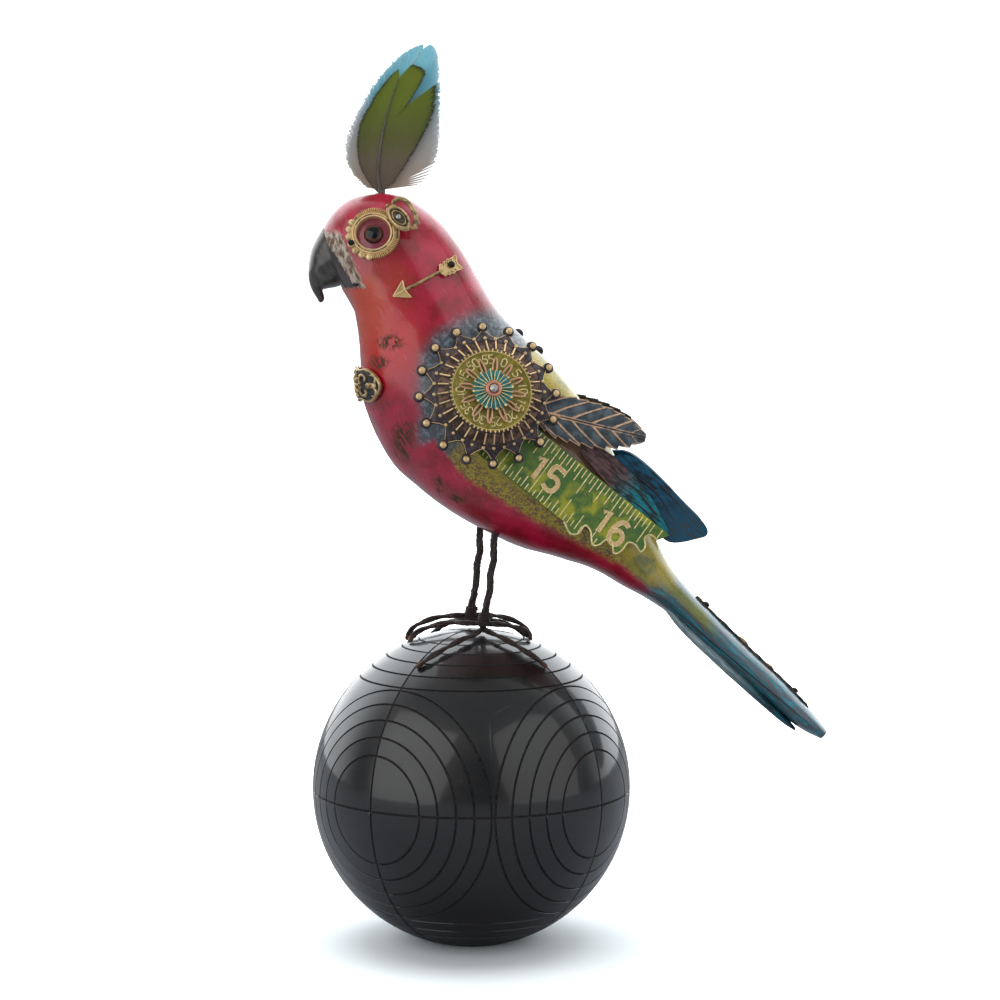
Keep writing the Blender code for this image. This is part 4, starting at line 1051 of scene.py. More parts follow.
bodyLook = {
    "sections": [  # point on the back, point on the breast side, half width
        ((-48.9, 238.7), (-42.2, 217.6), 8.6), ((-47.4, 241.4), (-40.2, 214.2), 10.6),
        ((-44.6, 244.9), (-38.4, 210.6), 13.0), ((-39.8, 248.4), (-38.0, 208.0), 15.0),
        ((-33.0, 250.2), (-37.6, 205.2), 16.6), ((-25.5, 250.1), (-37.3, 202.2), 17.4),
        ((-17.5, 246.6), (-37.0, 198.5), 17.8), ((-9.5, 240.0), (-36.8, 194.0), 18.2),
        ((-2.5, 230.8), (-36.8, 188.5), 18.8), ((3.5, 220.0), (-36.0, 182.0), 20.0),
        ((9.5, 210.8), (-34.0, 176.0), 21.2), ((17.5, 202.6), (-31.0, 169.0), 22.3),
        ((26.0, 194.3), (-26.0, 160.5), 22.2), ((34.0, 185.2), (-18.5, 153.5), 21.6),
        ((41.5, 174.5), (-9.0, 146.0), 20.8), ((48.0, 163.3), (2.5, 139.3), 20.0),
        ((53.7, 152.0), (15.0, 133.2), 17.4), ((58.5, 142.0), (29.0, 129.2), 14.8),
        ((62.5, 133.6), (41.0, 125.2), 12.6), ((66.6, 126.0), (52.0, 118.9), 11.2),
        ((71.0, 120.3), (60.5, 114.2), 10.4), ((77.0, 114.0), (68.2, 108.6), 9.8),
        ((90.0, 101.2), (82.0, 95.9), 9.3), ((105.0, 87.0), (98.0, 81.6), 8.6),
        ((115.0, 76.3), (109.5, 71.9), 7.4), ((119.6, 70.8), (117.2, 67.9), 4.6),
    ],
    "steps": 4, "sides": 72, "carving": 0.22,
}
beakLook = {
    "upper": [
        ((-48.9, 239.0), (-41.0, 220.6), 8.3), ((-49.6, 238.2), (-42.0, 220.2), 8.0),
        ((-51.4, 235.0), (-43.4, 219.8), 7.4), ((-53.0, 231.5), (-45.0, 219.3), 6.5),
        ((-53.9, 227.0), (-46.8, 219.0), 5.3), ((-54.0, 223.5), (-48.3, 218.7), 4.1),
        ((-53.5, 220.3), (-49.2, 218.4), 2.9), ((-52.4, 217.6), (-48.9, 217.0), 1.9),
        ((-51.2, 215.7), (-48.7, 215.9), 1.4), ((-50.7, 214.7), (-49.0, 214.8), 1.0),
        ((-50.2, 214.2), (-49.5, 214.3), 0.4),
    ],
    "lower": [
        ((-38.8, 219.8), (-38.4, 217.4), 6.0), ((-40.2, 219.6), (-39.8, 217.6), 5.4),
        ((-41.4, 219.2), (-41.1, 217.9), 4.4), ((-42.4, 218.9), (-42.3, 218.2), 3.0),
        ((-43.0, 218.7), (-42.9, 218.5), 1.2),
    ],
}
tailLook = {
    "under": [
        ((66.6, 113.2), (65.4, 110.6), 6.4), ((73.4, 106.6), (71.7, 102.8), 7.8),
        ((90.4, 91.2), (88.6, 87.0), 7.6), ((104.0, 77.2), (102.6, 74.8), 6.4),
        ((109.0, 71.6), (108.3, 70.7), 3.6),
    ],
    "strip": [(75.6, 115.9), (80.5, 111.0), (90.2, 101.5), (97.5, 94.6), (105.2, 87.3), (113.5, 78.4)],
    "stripHalf": 2.0, "stripThick": 0.8, "stripSeat": -0.9,
    "curls": [(0.05, 0.8), (0.42, 1.5), (0.68, 1.1), (0.97, 0.6)], "nails": [(78.6, 112.9), (108.6, 83.8)],
    "seam": [(66.0, 113.6), (112.0, 74.6)],
}


def loftSections(sections, steps, sides, carving=0.0):
    flat = [(a, b, c, d, half) for (a, b), (c, d), half in sections]
    path = smoothPath(flat, steps)
    bm = bmesh.new()
    station = bm.verts.layers.float.new("station")
    loops = []
    for number, (a, b, c, d, half) in enumerate(path):
        back, breast = Vector((a, 0.0, b)), Vector((c, 0.0, d))
        middle, reach = (back + breast) / 2, (back - breast) / 2
        loop = []
        for k in range(sides):
            turn = 2 * pi * (k + 0.5) / sides
            spot = middle + reach * sin(turn) + Vector((0.0, max(half, 0.2) * cos(turn), 0.0))
            if carving:
                away = (spot - middle).normalized()
                swell = away * carving * noise.noise(spot * 0.16)
                spot += swell + away * carving * 0.4 * noise.noise(spot * 0.6)
            vert = bm.verts.new(spot)
            vert[station] = number / steps
            loop.append(vert)
        loops.append(loop)
    for first, second in zip(loops, loops[1:]):
        for i in range(sides):
            j = (i + 1) % sides
            bm.faces.new((first[i], first[j], second[j], second[i]))
    bm.faces.new(loops[0][::-1])
    bm.faces.new(loops[-1])
    return bm


class Flank:
    # Finds points on the body's surface.
    def __init__(self, bm):
        bm.normal_update()
        self.tree = BVHTree.FromBMesh(bm)

    def at(self, x, z, side=-1):
        point, normal = self.tree.ray_cast(Vector((x, side * 80.0, z)), Vector((0.0, -side, 0.0)))[:2]
        return point, normal if normal.y * side > 0 else -normal

    def toward(self, core, outward):
        return self.tree.ray_cast(core + outward * 80.0, -outward)[0]

    def matrix(self, x, z, spread=3.0, side=-1):
        steps = [(0, 0), (spread, 0), (-spread, 0), (0, spread), (0, -spread)]
        normal = sum((self.at(x + dx, z + dz, side)[1] for dx, dz in steps), Vector())
        return facing(normal, self.at(x, z, side)[0], side)


bodyMesh = loftSections(bodyLook["sections"], bodyLook["steps"], bodyLook["sides"], bodyLook["carving"])
flank = Flank(bodyMesh)
addPiece("birdBody", bodyMesh, "bird", "painted_wood", ["body"], sharp=60)
addPiece("beakUpper", loftSections(beakLook["upper"], 5, 40), "beak", "horn", ["beak_upper"], sharp=60)
addPiece("beakLower", loftSections(beakLook["lower"], 4, 28), "jaw", "horn", ["beak_lower"], sharp=60)


def nailHead(name, place, head, paint, slot, nodes=(), facets=0, shaft=3.0):
    # A hammered round head on a short length of shaft.
    segments = 10 if facets else 20
    profile = [(0.0, -shaft), (head * 0.35, -shaft), (head * 0.35, -0.05), (head * 0.92, -0.05),
               (head, head * 0.1), (head * 0.93, head * 0.36), (head * 0.7, head * 0.62),
               (head * 0.36, head * 0.78), (0.0, head * 0.82)]
    bm = turnedShape(profile, segments)
    for vert in bm.verts:
        vert.co *= 1.0 + 0.05 * noise.noise(vert.co * 2.3 + Vector((head * 9, 3, 1)))
    addPiece(name, bm, paint, slot, nodes, place=place, sharp=15 if facets else 45)


def buildTail():
    look = tailLook
    # the lower tail blade, its front pale partly from its paint and partly from a painted reflection
    addPiece("tailUnder", loftSections(look["under"], 6, 36, 0.1), "paleTailSheen", "blue_wood", ["tail_under"],
             sharp=60)
    path = smoothPath([Vector((x, 0.0, z)) for x, z in look["strip"]], 8)
    top = look["stripSeat"] + look["stripThick"]
    rows, normals = [], []
    for k, point in enumerate(path):
        ahead = headingAt(path, k)
        normal = Vector((-ahead.z, 0.0, ahead.x))
        normals.append(normal)
        half = look["stripHalf"] * min(1.0, 0.55 + 0.1 * min(k, len(path) - 1 - k))
        wave = 0.12 * sin(k * 1.7) + 0.08 * sin(k * 0.6)
        lip = [(-1.0, 0.35), (-0.8, 0.0), (-0.3, 0.1), (0.0, 0.28), (0.3, 0.1), (0.8, 0.0), (1.0, 0.35)]
        rows.append([point + normal * (top + rise + wave) + Vector((0.0, half * y, 0.0))
                     for y, rise in lip])
    bm = slab(rows, lambda r, c, p: p - normals[r] * look["stripThick"])
    addPiece("tailStrip", bm, "recess", "aged_brass", ["tail_strip"])
    curls = []
    for share, size in look["curls"]:  # cast curls and leaves along the strip
        k = round(share * (len(path) - 1))
        ahead = headingAt(path, k)
        middle = path[k] + normals[k] * (look["stripSeat"] + 0.2 + look["stripThick"])
        for turn in range(5):
            spread = (turn - 2) * size * 0.55
            spot = middle + ahead * spread + Vector((0.0, 0.9 * sin(turn * 2.2), 0.0))
            wide = size * (0.62 - 0.12 * abs(turn - 2))
            turned = ahead.to_track_quat("X", "Y").to_matrix().to_4x4()
            grown = Matrix.Diagonal((1.5 * wide, wide, 0.8 * wide, 1.0))
            curls.append(lump(Matrix.Translation(spot) @ turned @ grown))
    addPiece("tailCurls", joined(curls), "antique", "aged_brass")
    for name, (x, z) in zip(("tail_nail_front", "tail_nail_rear"), look["nails"]):
        normal = Vector((0.7, 0.0, 0.714))
        place = along(normal, Vector((x, 0.0, z)) + normal * (top + 0.35))
        nailHead(name.replace("_n", "N"), place, 1.2, "black", "black_nail", [name])
    # the slit over the lower tail as a dark tube, a painted shadow in the gap, and seams along the upper
    # one
    for side, sign in sides.items():
        slitShadow = []
        for k in range(25):
            x = 68.0 + 37.0 * k / 24
            spot = Vector((x, sign * 0.3, 108.8 - (x - 68.0) * 0.915))
            outside = Vector((x - 14.0, sign * 30.0, spot.z - 15.0))
            hit = flank.tree.ray_cast(outside, (spot - outside).normalized())[0]
            slitShadow.append(hit or spot)
        bm = tube(slitShadow, [0.08 + 0.3 * (k / 24) for k in range(25)], 6)
        addPiece(side + "TailSlit", bm, "seam", "painted_wood")
    for name, sign in (("tailSeamLeft", -1), ("tailSeamRight", 1)):
        start, end = Vector(look["seam"][0]), Vector(look["seam"][1])
        spots = [start.lerp(end, k / 30) for k in range(31)]
        hits = [flank.at(s.x, s.y, sign) for s in spots]
        path = [hit + normal * 0.02 for hit, normal in hits]
        radii = [0.24 * sin(pi * min(0.98, 0.02 + k / 30)) ** 0.5 + 0.03 for k in range(31)]
        bm = tube(path, radii, 6, 0.5, [normal for _, normal in hits])
        addPiece(name, bm, "seam", "painted_wood")


buildTail()
print("body done")


eyeLook = {"at": (-31.6, 236.8), "radius": 3.25, "high": 1.9, "nail": (-38.6, 232.9), "nailHead": 1.05,
           "bezel": [(5.55, -1.4), (5.55, 0.8), (5.75, 1.15), (6.05, 1.2), (6.3, 0.95), (6.5, 0.85),
                     (6.75, 1.0), (7.0, 0.92), (7.15, 0.6), (7.2, -1.4)],
           "flange": [(7.1, -1.4), (7.1, 0.50), (7.9, 0.50), (8.35, 0.42), (8.5, 0.2), (8.5, -1.4)],
           "ridges": [(60, 77, 17), (-89, 76, 17)], "beads": (151, 128, 7)}
charmLook = {"at": (-24.1, 240.2), "lean": 0.98, "lift": 3.1, "long": 10.2, "wide": 6.2,
             "bail": [(-4.3, 1.3), (-5.5, 2.6), (-5.4, 4.4), (-3.6, 5.8), (-0.8, 5.9), (2.2, 5.1),
                      (4.6, 3.6), (5.4, 1.9), (5.0, 0.9)],
             "dots": [(1.6, 6.15), (3.5, 5.45), (5.2, 4.1), (6.1, 2.3), (-5.6, -0.2)]}
arrowLook = {"tip": (-25.0, 216.6), "end": (-4.2, 227.4), "nail": (-7.0, 226.4), "lift": 0.75,
             "head": [(0.0, 0.0), (4.9, 3.1), (4.4, 0.85), (4.4, -0.85), (4.9, -3.1)],
             "fletch": [(16.6, 0.7), (17.3, 2.1), (18.1, 1.7), (18.7, 2.4), (19.4, 2.0), (20.0, 2.6),
                        (20.8, 2.1), (22.9, 2.5), (22.2, 0.0), (22.9, -2.5), (20.8, -2.1), (20.0, -2.6),
                        (19.4, -2.0), (18.7, -2.4), (18.1, -1.7), (17.3, -2.1), (16.6, -0.7)]}


def buildEyes():
    look = eyeLook
    place = flank.matrix(*look["at"], spread=5.0)
    levels = [pi / 2 * k / 12 for k in range(13)]
    profile = [(look["radius"] * cos(a) if k < 12 else 0.0, look["high"] * sin(a) - 0.15) for k,
               a in enumerate(levels)]
    bm = turnedShape([(0.0, -1.5), (look["radius"], -1.5)] + profile, 48)
    reach = bm.verts.layers.float.new("reach")
    for vert in bm.verts:
        vert[reach] = Vector(vert.co.xy).length / look["radius"]
    addPair("eyeBead", bm, "eye", "glass_eye", ["eye"], place=place, sharp=60)
    ringPlace = place @ Matrix.Translation((0.0, 0.0, 0.25))
    addPair("eyeBezel", turnedShape(look["bezel"], 72), "gold", "brass", ["eye_ring"], place=ringPlace,
            sharp=50)
    addPair("eyeFlange", turnedShape(look["flange"], 72), "antique", "brass", place=ringPlace)
    ridges = [grow("bar", {"Count": count, "Radius": 7.1, "Start": radians(start), "Sweep": radians(sweep),
                           "Lift": 0.50, "Slope": 0.05, "Size": (1.6, 0.2, 0.42), "Jitter": 0.1}, "gold")
              for start, sweep, count in look["ridges"]]
    addPair("eyeRidges", joined(ridges), "gold", "brass", place=ringPlace)
    start, sweep, count = look["beads"]
    beads = grow("bead", {"Count": count, "Radius": 8.1, "Start": radians(start), "Sweep": radians(sweep),
                          "Lift": 0.35, "Size": (1.2, 1.15, 0.62), "Jitter": 0.12}, "gold")
    addPair("eyeBeads", beads, "gold", "brass", place=ringPlace)
    local = ringPlace.inverted() @ flank.at(*look["nail"])[0]
    nailPlace = ringPlace @ Matrix.Translation((local.x, local.y, 1.25))
    for side, half in halves.items():
        nailHead(side + "EyeNail", half @ nailPlace, look["nailHead"], "black", "black_nail",
                 [side + "_eye_ring_nail"])


def buildCharms():
    look = charmLook
    base = flank.matrix(*look["at"], spread=4.0)
    normal = base.to_3x3() @ Vector((0.0, 0.0, 1.0))
    lean = Vector((cos(look["lean"]), 0.0, -sin(look["lean"])))
    ahead = (lean - normal * lean.dot(normal)).normalized()
    across = normal.cross(ahead)
    across = -across if across.z < 0 else across
    turn = Matrix((ahead, across, normal)).transposed().to_4x4()
    place = Matrix.Translation(base.translation + normal * look["lift"]) @ turn
    layers = [(0.0, -0.1), (1.0, -0.1), (1.06, 0.5), (1.0, 1.15), (0.86, 1.5), (0.74, 1.25), (0.66, 0.95),
              (0.6, 1.2), (0.54, 1.25), (0.46, 0.8), (0.2, 0.7), (0.0, 0.72)]
    bm = bmesh.new()
    loops = []
    for share, height in layers:
        count = 40 if share else 1
        loop = []
        for k in range(count):
            a = 2 * pi * k / 40
            width = look["wide"] / 2 * abs(sin(a)) ** 1.15 * (1 if sin(a) > 0 else -1)
            loop.append(bm.verts.new((look["long"] / 2 * cos(a) * share, width * share, height)))
        loops.append(loop)
    for first, second in zip(loops, loops[1:]):
        for i in range(40):
            j = (i + 1) % 40
            corners = [first[i % len(first)], first[j % len(first)], second[j % len(second)],
                       second[i % len(second)]]
            bm.faces.new(list(dict.fromkeys(corners)))
    bail = smoothPath([Vector((a, b, 0.6 + 0.5 * sin(pi * k / 8))) for k,
                       (a, b) in enumerate(look["bail"])], 6)
    dots = [lump(Matrix.Translation((a, b, 0.7)), 0.62) for a, b in look["dots"]]
    stem = tube([Vector((0.0, 0.0, -3.2)), Vector((0.0, 0.0, 0.4))], 0.5, 10)
    whole = joined([bm, tube(bail, 0.8, 12), stem] + dots)
    addPair("eyeCharm", whole, "antique", "aged_brass", ["eye_charm"], place=place)
    for side, half in halves.items():
        nail = half @ place @ Matrix.Translation((-0.3, 0.0, 0.95))
        nailHead(side + "CharmNail", nail, 0.95, "steel", "steel", [side + "_eye_charm_nail"], facets=8)


def buildArrows():
    look = arrowLook
    tip, end = Vector(look["tip"]), Vector(look["end"])
    ahead = (end - tip).normalized()
    across = Vector((-ahead.y, ahead.x))

    def seat(co):
        flat = tip + ahead * co.x + across * co.y
        middle = tip + ahead * co.x
        normal = flank.at(middle.x, middle.y)[1]
        return flank.at(flat.x, flat.y)[0] + normal * (look["lift"] + co.z)

    parts = [plate(refined(look["head"], 0.7), 0.7), plate(refined(look["fletch"], 0.7), 0.55)]
    addPair("arrow", joined(parts), "antique", "aged_brass", ["arrow"], place=seat)
    shaft = tube([Vector((4.0 + 0.7 * k, 0.0, 0.45)) for k in range(20)], 0.62, 10, 0.8)
    addPair("arrowShaft", shaft, "antique", "aged_brass", place=seat)
    rims = []
    for outline, high in ((look["head"], 0.78), (look["fletch"], 0.62)):
        ring = refined(outline, 0.7)
        ring = [Vector((a, b, high)) for a, b in ring + ring[:1]]
        rims.append(tube(ring, 0.2, 6))
    rims.append(tube([Vector((0.4 + 0.6 * k, 0.0, 0.8)) for k in range(7)], 0.22, 6))
    for k in range(4):
        start = 17.2 + 1.3 * k
        for sign in (-1, 1):
            rims.append(tube([Vector((start, 1.3 * sign, 0.64)), Vector((start + 0.5, 2.2 * sign, 0.64))],
                             0.15, 6))
    addPair("arrowRim", joined(rims), "gold", "aged_brass", place=seat)
    for side, half in halves.items():
        nail = half @ flank.matrix(*look["nail"]) @ Matrix.Translation((0.0, 0.0, 1.45))
        nailHead(side + "ArrowNail", nail, 1.15, "black", "black_nail", [side + "_arrow_nail"])


def refined(outline, step):  # the same outline with no side longer than a step
    points = []
    for a, b in zip(outline, outline[1:] + outline[:1]):
        a, b = Vector(a), Vector(b)
        count = max(1, round((b - a).length / step))
        points += [tuple(a.lerp(b, k / count)) for k in range(count)]
    return points


buildEyes()
buildCharms()
buildArrows()
print("head findings done")


plaqueLook = {"z": 187.2, "high": 12.0, "thick": 1.1, "core": -18.0, "sweep": 0.98, "nail": 0.84,
              "lift": 0.8}


def buildPlaque():
    look = plaqueLook
    bend = 19.0  # how far the plate's middle lies from the core, so its lengths read true

    def seat(co):
        heading = co.x / bend
        outward = Vector((-cos(heading), sin(heading), 0.0))
        core = Vector((look["core"], 0.0, look["z"] + co.y))
        return flank.toward(core, outward) + outward * (look["lift"] + co.z)

    half, long = look["high"] / 2, look["sweep"] * bend
    rows = []
    for i in range(49):
        u = -1.0 + 2.0 * i / 48
        height = half * (1.0 - abs(u) ** 5) ** 0.5 * (0.92 + 0.08 * cos(9 * u)) if abs(u) < 1 else 0.15
        height = max(height, 0.6)
        rows.append([Vector((u * long, height * v, look["thick"] * 0.75 - 0.25 * v * v)) for v in
                     (-1.0, -0.75, -0.5, -0.25, 0.0, 0.25, 0.5, 0.75, 1.0)])
    bm = slab(rows, lambda r, c, p: Vector((p.x, p.y, 0.0)))
    addPiece("breastPlaque", bm, "pewter", "aged_brass", ["breast_plaque"], place=seat)

    top = look["thick"] * 0.75
    wires = []
    rim = [Vector((row[-1].x * 0.97, row[-1].y * 0.93, top)) for row in rows]
    rim += [Vector((row[0].x * 0.97, row[0].y * 0.93, top)) for row in rows[::-1]]
    wires.append(tube(rim + rim[:1], 0.36, 8))
    for sign in (-1, 1):
        for up in (-1, 1):
            scroll = []
            for k in range(26):  # scrolls that wind in from the middle
                a = -0.9 + 4.6 * k / 25
                r = 2.9 - 2.0 * k / 25
                scroll.append(Vector((sign * (10.4 - r * cos(a)), up * (2.0 + r * 0.75 * sin(a)),
                                      top + 0.15)))
            wires.append(tube(scroll, [0.62 - 0.25 * k / 25 for k in range(26)], 8))
            curl = [Vector((sign * (14.9 + 1.7 * cos(t)), up * (2.0 + 1.5 * sin(t)), top + 0.1)) for t in
                    [-2.2 + 4.2 * k / 12 for k in range(13)]]
            wires.append(tube(curl, [0.22 + 0.28 * sin(pi * k / 12) for k in range(13)], 8))
        for k in range(5):  # feathered ribs that fan out from the middle
            fan = radians(-56 + 28 * k)
            rib = [Vector((sign * (1.0 + 5.4 * t * cos(fan * (1 - 0.3 * t))), 4.9 * t * sin(fan),
                           top + 0.15 * sin(pi * t)))
                   for t in [j / 8 for j in range(9)]]
            wires.append(tube(rib, [0.24 + 0.5 * sin(pi * (0.1 + 0.85 * j / 8)) for j in range(9)], 8))
        wires.append(lump(Matrix.Translation((sign * 13.2, 0.0, top)), 1.15))
    for k in range(5):  # a shell at the front
        spot = Matrix.Translation((0.0, -4.0 + 2.0 * k, top))
        wires.append(lump(spot @ Matrix.Diagonal((1.5, 0.85, 0.6, 1.0))))
    addPiece("plaqueRelief", joined(wires), "antique", "aged_brass", place=seat)
    for side, sign in sides.items():
        outward = Vector((-cos(look["nail"]), sign * sin(look["nail"]), 0.0))
        hit = flank.toward(Vector((look["core"], 0.0, look["z"])), outward)
        place = along(outward, hit + outward * (look["lift"] + 0.95))
        nailHead(side + "PlaqueNail", place, 0.95, "gold", "black_nail", ["plaque_nail_" + side])


buildPlaque()
print("plaque done")


rosetteLook = {
    "at": (6.9, -30.2, 186.4), "axis": (0.226, -0.930, 0.291), "phase": 4.6,
    "points": 16, "flat": 13.9, "valley": 19.0, "ballRing": 22.6, "drop": 5.5, "thick": 0.8,
    "slotOuter": 17.3, "rays": 32, "rayWidth": 0.28, "bead": 0.58,
    "dialThick": 0.5, "numeralRing": 11.5, "numeralHigh": 2.9, "zeroAt": 67.0,
    "petals": 12, "petalAt": 84.0, "flower": 6.7,
}
digitStrokes = {  # drawn in a box 0.6 wide and 1 high
    "0": [(0.0, 0.25), (0.0, 0.75), (0.12, 0.95), (0.3, 1.0), (0.48, 0.95), (0.6, 0.75), (0.6, 0.25),
          (0.48, 0.05), (0.3, 0.0), (0.12, 0.05), (0.0, 0.25)],
    "1": [(0.08, 0.80), (0.36, 1.0), (0.36, 0.0)],
    "2": [(0.0, 0.78), (0.1, 0.95), (0.3, 1.0), (0.52, 0.92), (0.6, 0.72), (0.5, 0.5), (0.0, 0.0),
          (0.6, 0.0)],
    "3": [(0.0, 0.88), (0.3, 1.0), (0.55, 0.86), (0.52, 0.62), (0.25, 0.53), (0.55, 0.42), (0.58, 0.16),
          (0.3, 0.0), (0.0, 0.1)],
    "4": [(0.46, 0.0), (0.46, 1.0), (0.0, 0.3), (0.62, 0.3)],
    "5": [(0.58, 1.0), (0.06, 1.0), (0.02, 0.54), (0.3, 0.60), (0.55, 0.50), (0.6, 0.28), (0.5, 0.06),
          (0.26, 0.0), (0.0, 0.1)],
    "6": [(0.54, 0.92), (0.3, 1.0), (0.08, 0.8), (0.0, 0.4), (0.08, 0.08), (0.3, 0.0), (0.52, 0.08),
          (0.6, 0.3), (0.5, 0.52), (0.28, 0.58), (0.04, 0.42)],
}


def buildRosette(side):
    look = rosetteLook
    sign = sides[side]
    axis = Vector((look["axis"][0], -sign * look["axis"][1], look["axis"][2]))
    at = Vector((look["at"][0], -sign * look["at"][1], look["at"][2]))
    place = facing(axis, at, sign)
    body = side + "_rosette"
    slope = look["drop"] / (look["ballRing"] - look["flat"])
    angle = atan2(look["drop"], look["ballRing"] - look["flat"])
    phase = radians(look["phase"])

    def fall(radius):  # height of the star's face at a radius
        return -0.3 - slope * max(radius - look["flat"], 0.0)

    def add(name, bm, paint, slot, nodes=(), **options):
        addPiece(side + name, bm, paint, slot, [f"{side}_{n}" for n in nodes], body=body, place=place,
                 **options)

    # star: a hub, ribs under the rays with open slots between, and a pointed rim
    count = look["points"]
    outline = []
    for k in range(count):
        middle = phase + 2 * pi * k / count
        half = pi / count
        for step, radius in ((-1.0, look["valley"]), (-0.72, 19.3), (-0.45, 20.2), (-0.24, 21.3),
                             (-0.12, 22.0), (0.12, 22.0), (0.24, 21.3), (0.45, 20.2), (0.72, 19.3)):
            outline.append((radius, middle + half * step))
    rows = []
    for share in (0.0, 0.06, 0.5, 0.94, 1.0):
        row = []
        for radius, turn in outline + outline[:1]:
            r = look["slotOuter"] + (radius - look["slotOuter"]) * share
            edge = 0.18 if share in (0.0, 1.0) else 0.0
            row.append(Vector((r * cos(turn), r * sin(turn), fall(r) - edge)))
        rows.append(row)
    rim = slab(rows, lambda r, c, p: p - Vector((0.0, 0.0, look["thick"] - 0.15)))
    hub = turnedShape([(1.1, -1.15), (13.9, -1.15), (14.15, -0.95), (14.15, -0.5), (13.9, -0.3),
                       (1.1, -0.3)], 96)
    ribs = grow("bar", {"Count": look["rays"], "Radius": 13.6, "Start": phase, "Lift": -0.62,
                        "Slope": angle, "Size": (4.9, 0.62, 0.34)}, "star")
    balls = grow("bead", {"Count": count, "Radius": look["ballRing"] + 0.2, "Start": phase,
                          "Lift": fall(22.6) - 0.25, "Size": (1.82, 1.82, 1.35), "Jitter": 0.06}, "star")
    add("Star", joined([rim, hub, ribs, balls]), "star", "aged_brass", ["starburst"])
    # the sunk band between the rays
    band = turnedShape([(13.8, fall(14.1) - 0.6), (17.5, fall(17.5) - 0.6), (17.5, fall(17.5) - 0.22),
                        (15.6, fall(15.6) - 0.3), (13.8, fall(14.1) - 0.2)], 128)
    add("StarBand", band, "band", "aged_brass")
    # rubbed gold on the star: ball tops, rays, beads and the thin lines out to each ball
    caps = grow("bead", {"Count": count, "Radius": look["ballRing"] + 0.25, "Start": phase,
                         "Lift": fall(22.6) + 0.28, "Size": (1.28, 1.28, 1.0), "Jitter": 0.12}, "gold")
    rays = grow("bar", {"Count": look["rays"], "Radius": 14.1, "Start": phase, "Lift": fall(14.1) + 0.16,
                        "Slope": angle, "Size": (3.7, look["rayWidth"], 0.30), "Jitter": 0.16}, "gold")
    beads = grow("bead", {"Count": look["rays"], "Radius": 18.35, "Start": phase, "Lift": fall(18.35) + 0.2,
                          "Size": (look["bead"], look["bead"], 0.42), "Jitter": 0.2}, "gold")
    lines = []
    for k in range(count):
        for step in (-1, 1):
            start, end = phase + 2 * pi * k / count, phase + 2 * pi * (k + 0.5 * step) / count
            a = Vector((21.3 * cos(start + 0.03 * step), 21.3 * sin(start + 0.03 * step),
                        fall(21.3) + 0.05))
            b = Vector((18.6 * cos(end), 18.6 * sin(end), fall(18.6) + 0.05))
            bend = (a + b) / 2
            bend = Vector((bend.x * 0.985, bend.y * 0.985, bend.z + 0.12))
            lines.append(tube([a, bend, b], 0.11, 5))
    add("StarGold", joined([caps, rays, beads]), "gold", "aged_brass")
    add("StarLines", joined(lines), "antique", "aged_brass")
    # dial with a toothed rim and its numerals
    dial = turnedShape([(1.1, 0.0), (13.6, 0.0), (13.6, 0.36), (13.3, look["dialThick"]), (12.9, 0.42),
                        (1.1, 0.42)], 96)
    add("Dial", dial, "dial", "olive_brass", ["dial"])
    teeth = grow("bar", {"Count": 60, "Radius": 13.0, "Start": phase, "Lift": 0.46,
                         "Size": (1.0, 0.26, 0.26), "Jitter": 0.15}, "gold")
    border = turnedShape([(12.85, 0.3), (12.95, 0.58), (13.1, 0.58), (13.2, 0.3)], 96)
    numerals = []
    for k in range(12):
        turn = radians(look["zeroAt"] - 30 * k)
        text = str(5 * k)
        width = 0.78 * len(text) - 0.18
        outward = Matrix.Translation((0.0, look["numeralRing"] - 1.2, 0.46))
        spot = Matrix.Rotation(turn - pi / 2, 4, "Z") @ outward
        for i, digit in enumerate(text):
            high = look["numeralHigh"]
            path = [spot @ Vector(((a + 0.78 * i - width / 2) * high * 0.92, (b - 0.5) * high, 0.0))
                    for a, b in digitStrokes[digit]]
            numerals.append(tube(path, 0.22, 6))
    add("DialTeeth", joined([teeth, border]), "gold", "olive_brass")
    add("DialNumerals", joined(numerals), "marks", "olive_brass")
    # copper petals: open loops over a small hub
    loops = grow("loop", {"Count": look["petals"], "Radius": 7.9, "Start": radians(look["petalAt"]),
                          "Lift": 1.08, "Size": (2.9, 2.5, 2.3), "Jitter": 0.12}, "copper")
    disc = turnedShape([(1.1, 0.82), (5.6, 0.82), (6.0, 1.0), (5.6, 1.35), (1.1, 1.35)], 48)
    add("Petals", joined([loops, disc]), "copper", "copper", ["petal_ring"])
